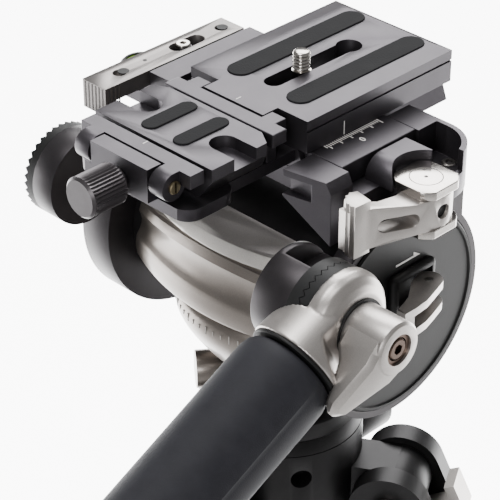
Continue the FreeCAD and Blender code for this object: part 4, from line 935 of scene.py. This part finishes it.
@dataclass
class Marks:
    """White balance scale of the plate: division lines, figure and index lines."""

    low: float = -12.3
    ink: float = 0.07

    def line(self, x: tuple[float, float], y: float, z: float, width: float = 0.32) -> bpy.types.Object:
        """One line on a flat top, along the tilt axis."""
        return Bench.brick("line", (x[0], y - width / 2, z - 0.05), (x[1], y + width / 2, z + self.ink))

    def build(self) -> None:
        """Make the marks of the jaw, the plate and the clamp jaws."""
        scale = [self.line((27.9, 29.6 + (1.4 if step % 5 == 0 else 0)), 8 - step, self.low)
                 for step in range(27)]
        piece = Bench.gather(*scale)
        piece.name = "balance_scale"
        Bench.mount(piece, Finish.WHITE, "jaw")
        Bench.clear()
        bpy.ops.object.text_add()
        figure = bpy.context.object
        figure.data.body = "0"
        figure.data.size = 3.6 * MM
        figure.data.align_x = "CENTER"
        figure.data.align_y = "CENTER"
        figure.data.extrude = 0.05 * MM
        bpy.ops.object.convert(target="MESH")
        figure.name = "balance_zero"
        turn = Matrix.Rotation(math.radians(90), 4, "Z")
        Bench.settle(figure, Matrix.Translation(DATUM.at(33.9, -5.4, self.low + 0.03)) @ turn)
        Bench.mount(figure, Finish.WHITE, "jaw")
        index = Bench.brick("plate_index_line", (27.7, -8.25, -11.7), (27.82, -7.9, -6.6))
        Bench.mount(index, Finish.WHITE, "plate")
        far = Bench.brick("far_jaw_centre_line", (-0.2, -31.6, -0.05), (0.2, -29.2, self.ink))
        Bench.mount(far, Finish.WHITE, "plate")
        near = Bench.brick("near_jaw_centre_line", (-0.2, -73.9, -0.05), (0.2, -71.7, self.ink))
        Bench.mount(near, Finish.WHITE, "carriage")


@dataclass
class CameraScrew:
    """Camera screw: rounded thread on a collar with a slotted head below the plate."""

    pitch: float = 1.27
    crest: float = 3.17
    root: float = 2.6
    collar: float = 3.4
    top: float = 6.8

    def build(self) -> None:
        """Turn the screw with its thread as closely set rings."""
        steps = [(-19, 5.4), (-18.6, 6), (-16.7, 6), (-16.4, 5.7), (-16.4, self.collar),
                 (-0.4, self.collar), (-0.4, self.root)]
        height = 0.1
        while height < self.top - 1.3:
            steps += [(height, self.root), (height + self.pitch * 0.38, self.crest),
                      (height + self.pitch * 0.62, self.crest), (height + self.pitch, self.root)]
            height += self.pitch
        steps += [(self.top - 0.9, self.crest - 0.1), (self.top - 0.3, self.crest - 0.35),
                  (self.top, self.crest - 0.8)]
        screw = Bench.turn("camera_mount_screw", steps, at("z"), 64)
        slot = Bench.brick("slot", (-7, -0.8, -20), (7, 0.8, -17.6))
        Bench.mount(Bench.carve(screw, slot), Finish.CHROME, "screw", "camera_screw", angle=50)


@dataclass
class LatchAndLevel:
    """Latch bar's screw, painted shade in its holes and thumb grooves, and the round bubble level beside
    it.
    """

    def build(self) -> None:
        """Make the latch trim and the level."""
        screw = socket_screw("latch_guide_screw", 2.8, -11.4, -9.95, 1.4, at("z", -57, -2.2))
        Bench.mount(screw, Finish.CHROME, "tilt_stage")
        # painted shade: thin dark strips stand for the shade in the grooves of the latch thumb
        groove_shades = [Bench.brick("latch_thumb_groove_shade", (-60.9 + 1.8 * step, -46.08, -20.6),
                            (-60.3 + 1.8 * step, -45.9, -10.4)) for step in range(6)]
        groove_shades += [Bench.brick("rib", (-50.1, -45.2 + 1.8 * step, -20.6), (-49.92, -44.6 + 1.8 * step, -10.4))
                 for step in range(4)]
        Bench.mount(Bench.gather(*groove_shades), Finish.SHADE, "latch")
        # painted shade: thin black discs stand for the dark inside the latch's holes
        holes = [Bench.turn("latch_hole_painted_shade", [(-10.4, radius), (-9.96, radius)], at("z", x, y), 32)
                 for x, y, radius in ((-56.1, 16.7, 2.1), (-56.1, -32, 2.1), (-56.7, -21.2, 0.8))]
        Bench.mount(Bench.gather(*holes), Finish.BLACK, "latch")
        place = at("z", -66.5, -14)
        case = Bench.turn("level_case", [(-23.2, 7.4), (-22.8, 7.7), (-17.1, 7.7), (-16.3, 6.9)], place)
        well = Bench.turn("well", [(-17.3, 6), (-15, 6)], place)
        case = Bench.carve(case, well)
        Bench.mount(case, Finish.BLACK, "tilt_stage", "bubble_level")
        fluid = Bench.turn("level_fluid", [(-18, 6), (-17, 6), (-16.6, 5), (-16.35, 3)], place)
        Bench.mount(fluid, Finish.GREEN, "tilt_stage")
        mark = Bench.ring("level_circle", 2.6, 2.9, -16.6, -16.28, place)
        Bench.mount(mark, Finish.BLACK, "tilt_stage")


@dataclass
class RightCover:
    """Black cover of the right disc, with the low boss that the tilt lock pin turns in."""

    y: float = -7
    z: float = -71.5
    radius: float = 37.6

    def build(self) -> None:
        """Turn the cover, trim it under the platform and raise the boss."""
        cover = Bench.turn("right_disc_cover", [(54.2, self.radius), (55.2, self.radius),
                                                (55.9, self.radius - 0.7), (55.9, self.radius - 1.6),
                                                (55.3, self.radius - 2.1)],
                           at("x", 0, self.y, self.z), 144)
        cover = slice_off(cover, -36, False)
        boss = Bench.brick("boss", (54.5, -14.5, -70), (58.6, 7.5, -53.6))
        boss = Bench.soften(boss, 1.9, 4, 40)
        pocket = Bench.brick("pocket", (56.2, -12, -67.6), (66, 5, -56))
        boss = Bench.carve(boss, pocket)
        Bench.mount(Bench.unite(cover, boss), Finish.DISC, "tilt_stage", "right_cover", angle=40)


@dataclass
class Discs:
    """Screws of the left side disc and a screw of the platform."""

    y: float = -7
    z: float = -71.5

    def build(self) -> None:
        """Make the screws."""
        bosses = []
        for turn in (90, 210, 330):
            angle = math.radians(turn)
            place = at("x", 0, self.y + 29 * math.cos(angle), self.z + 29 * math.sin(angle))
            head = Bench.turn("disc_screws", [(-63.6, 2.4), (-64.2, 2.4), (-64.5, 2.1)], place, 32)
            key = Bench.turn("key", [(-66, 1.2), (-63.9, 1.2)], place, 6)
            bosses.append(Bench.carve(head, key))
        Bench.mount(Bench.gather(*bosses), Finish.STEEL, "tilt_stage")
        pocket = socket_screw("platform_corner_screw", 2.6, -26, -23.2, 1.3, at("z", 52, 18.5))
        Bench.mount(pocket, Finish.STEEL, "tilt_stage")


@dataclass
class Studio:
    """Light-coloured floor that glows as painted light, strongest far behind the head, soft light and the
    camera.
    """

    azimuth: float = 45.0
    elevation: float = 32.6
    distance: float = 724.2
    lens: float = 151.9
    aim: tuple[float, float, float] = (11.3, -36.3, -52.6)

    def light(self, name: str, place: tuple[float, float, float], size: float, power: float) -> None:
        """Add one soft square light that faces the head."""
        bpy.ops.object.light_add(type="AREA", location=DATUM.at(*place))
        lamp = bpy.context.object
        lamp.name = name
        lamp.data.shape = "SQUARE"
        lamp.data.size = size
        lamp.data.energy = power
        facing = DATUM.at(*self.aim) - lamp.location
        lamp.rotation_euler = facing.to_track_quat("-Z", "Y").to_euler()

    def build(self) -> None:
        """Make the floor, the world, the lights and the camera."""
        bpy.ops.mesh.primitive_plane_add(size=90, location=(0, 0, 0))
        floor = bpy.context.object
        floor.name = "floor"
        floor_glow_material = bpy.data.materials.new("floor_with_painted_glow")
        floor_glow_material.use_nodes = True
        tree = floor_glow_material.node_tree
        shader = tree.nodes["Principled BSDF"]
        shader.inputs["Base Color"].default_value = (0.9, 0.9, 0.9, 1)
        shader.inputs["Roughness"].default_value = 0.8
        shader.inputs["Emission Color"].default_value = (1, 1, 1, 1)
        # painted light: the floor's emission rises from 0.3 near the head to 9 far behind it, so it glows
        # and lights the head from behind
        place = add_node(tree, "ShaderNodeTexCoord")
        along = add_node(tree, "ShaderNodeVectorMath", {"operation": "DOT_PRODUCT"},
                         {"Vector": place.outputs["Object"]})
        along.inputs[1].default_value = (-0.707, 0.707, 0)
        glow = add_node(tree, "ShaderNodeMapRange",
                        {"interpolation_type": "SMOOTHERSTEP", "From Min": -0.1, "From Max": 0.62,
                         "To Min": 0.3, "To Max": 9.0},
                        {"Value": along.outputs["Value"]})
        tree.links.new(glow.outputs["Result"], shader.inputs["Emission Strength"])
        floor.data.materials.append(floor_glow_material)
        world = bpy.data.worlds.new("studio")
        world.use_nodes = True
        world.node_tree.nodes["Background"].inputs["Color"].default_value = (1, 1, 1, 1)
        world.node_tree.nodes["Background"].inputs["Strength"].default_value = 0.3
        bpy.context.scene.world = world
        self.light("back_light", (-520, 700, 760), 0.8, 20)
        self.light("top_light", (-100, -250, 1000), 0.5, 9)
        self.light("front_light", (500, -900, 350), 0.35, 5)
        turn, rise = math.radians(self.azimuth), math.radians(self.elevation)
        back = Vector((math.sin(turn) * math.cos(rise), -math.cos(turn) * math.cos(rise),
                       math.sin(rise)))
        target = DATUM.at(*self.aim)
        bpy.ops.object.camera_add(location=target + back * self.distance * MM)
        camera = bpy.context.object
        camera.name = "camera"
        camera.data.lens = self.lens
        camera.data.sensor_width = 36
        camera.data.clip_start = 0.01
        camera.rotation_euler = (-back).to_track_quat("-Z", "Y").to_euler()
        bpy.context.scene.camera = camera
        LOG.info("studio is set")


def main() -> None:
    """Build everything in order."""
    logging.basicConfig(level=logging.INFO, format="%(message)s")
    Studio().build()
    CadSkin().build()
    for part in (PanHandle(), Housing(), ClampLever(), TiltLock(), RearClamp(), Marks(), CameraScrew(),
                 LatchAndLevel(), RightCover(), Discs()):
        part.build()


if __name__ == "__main__":
    main()
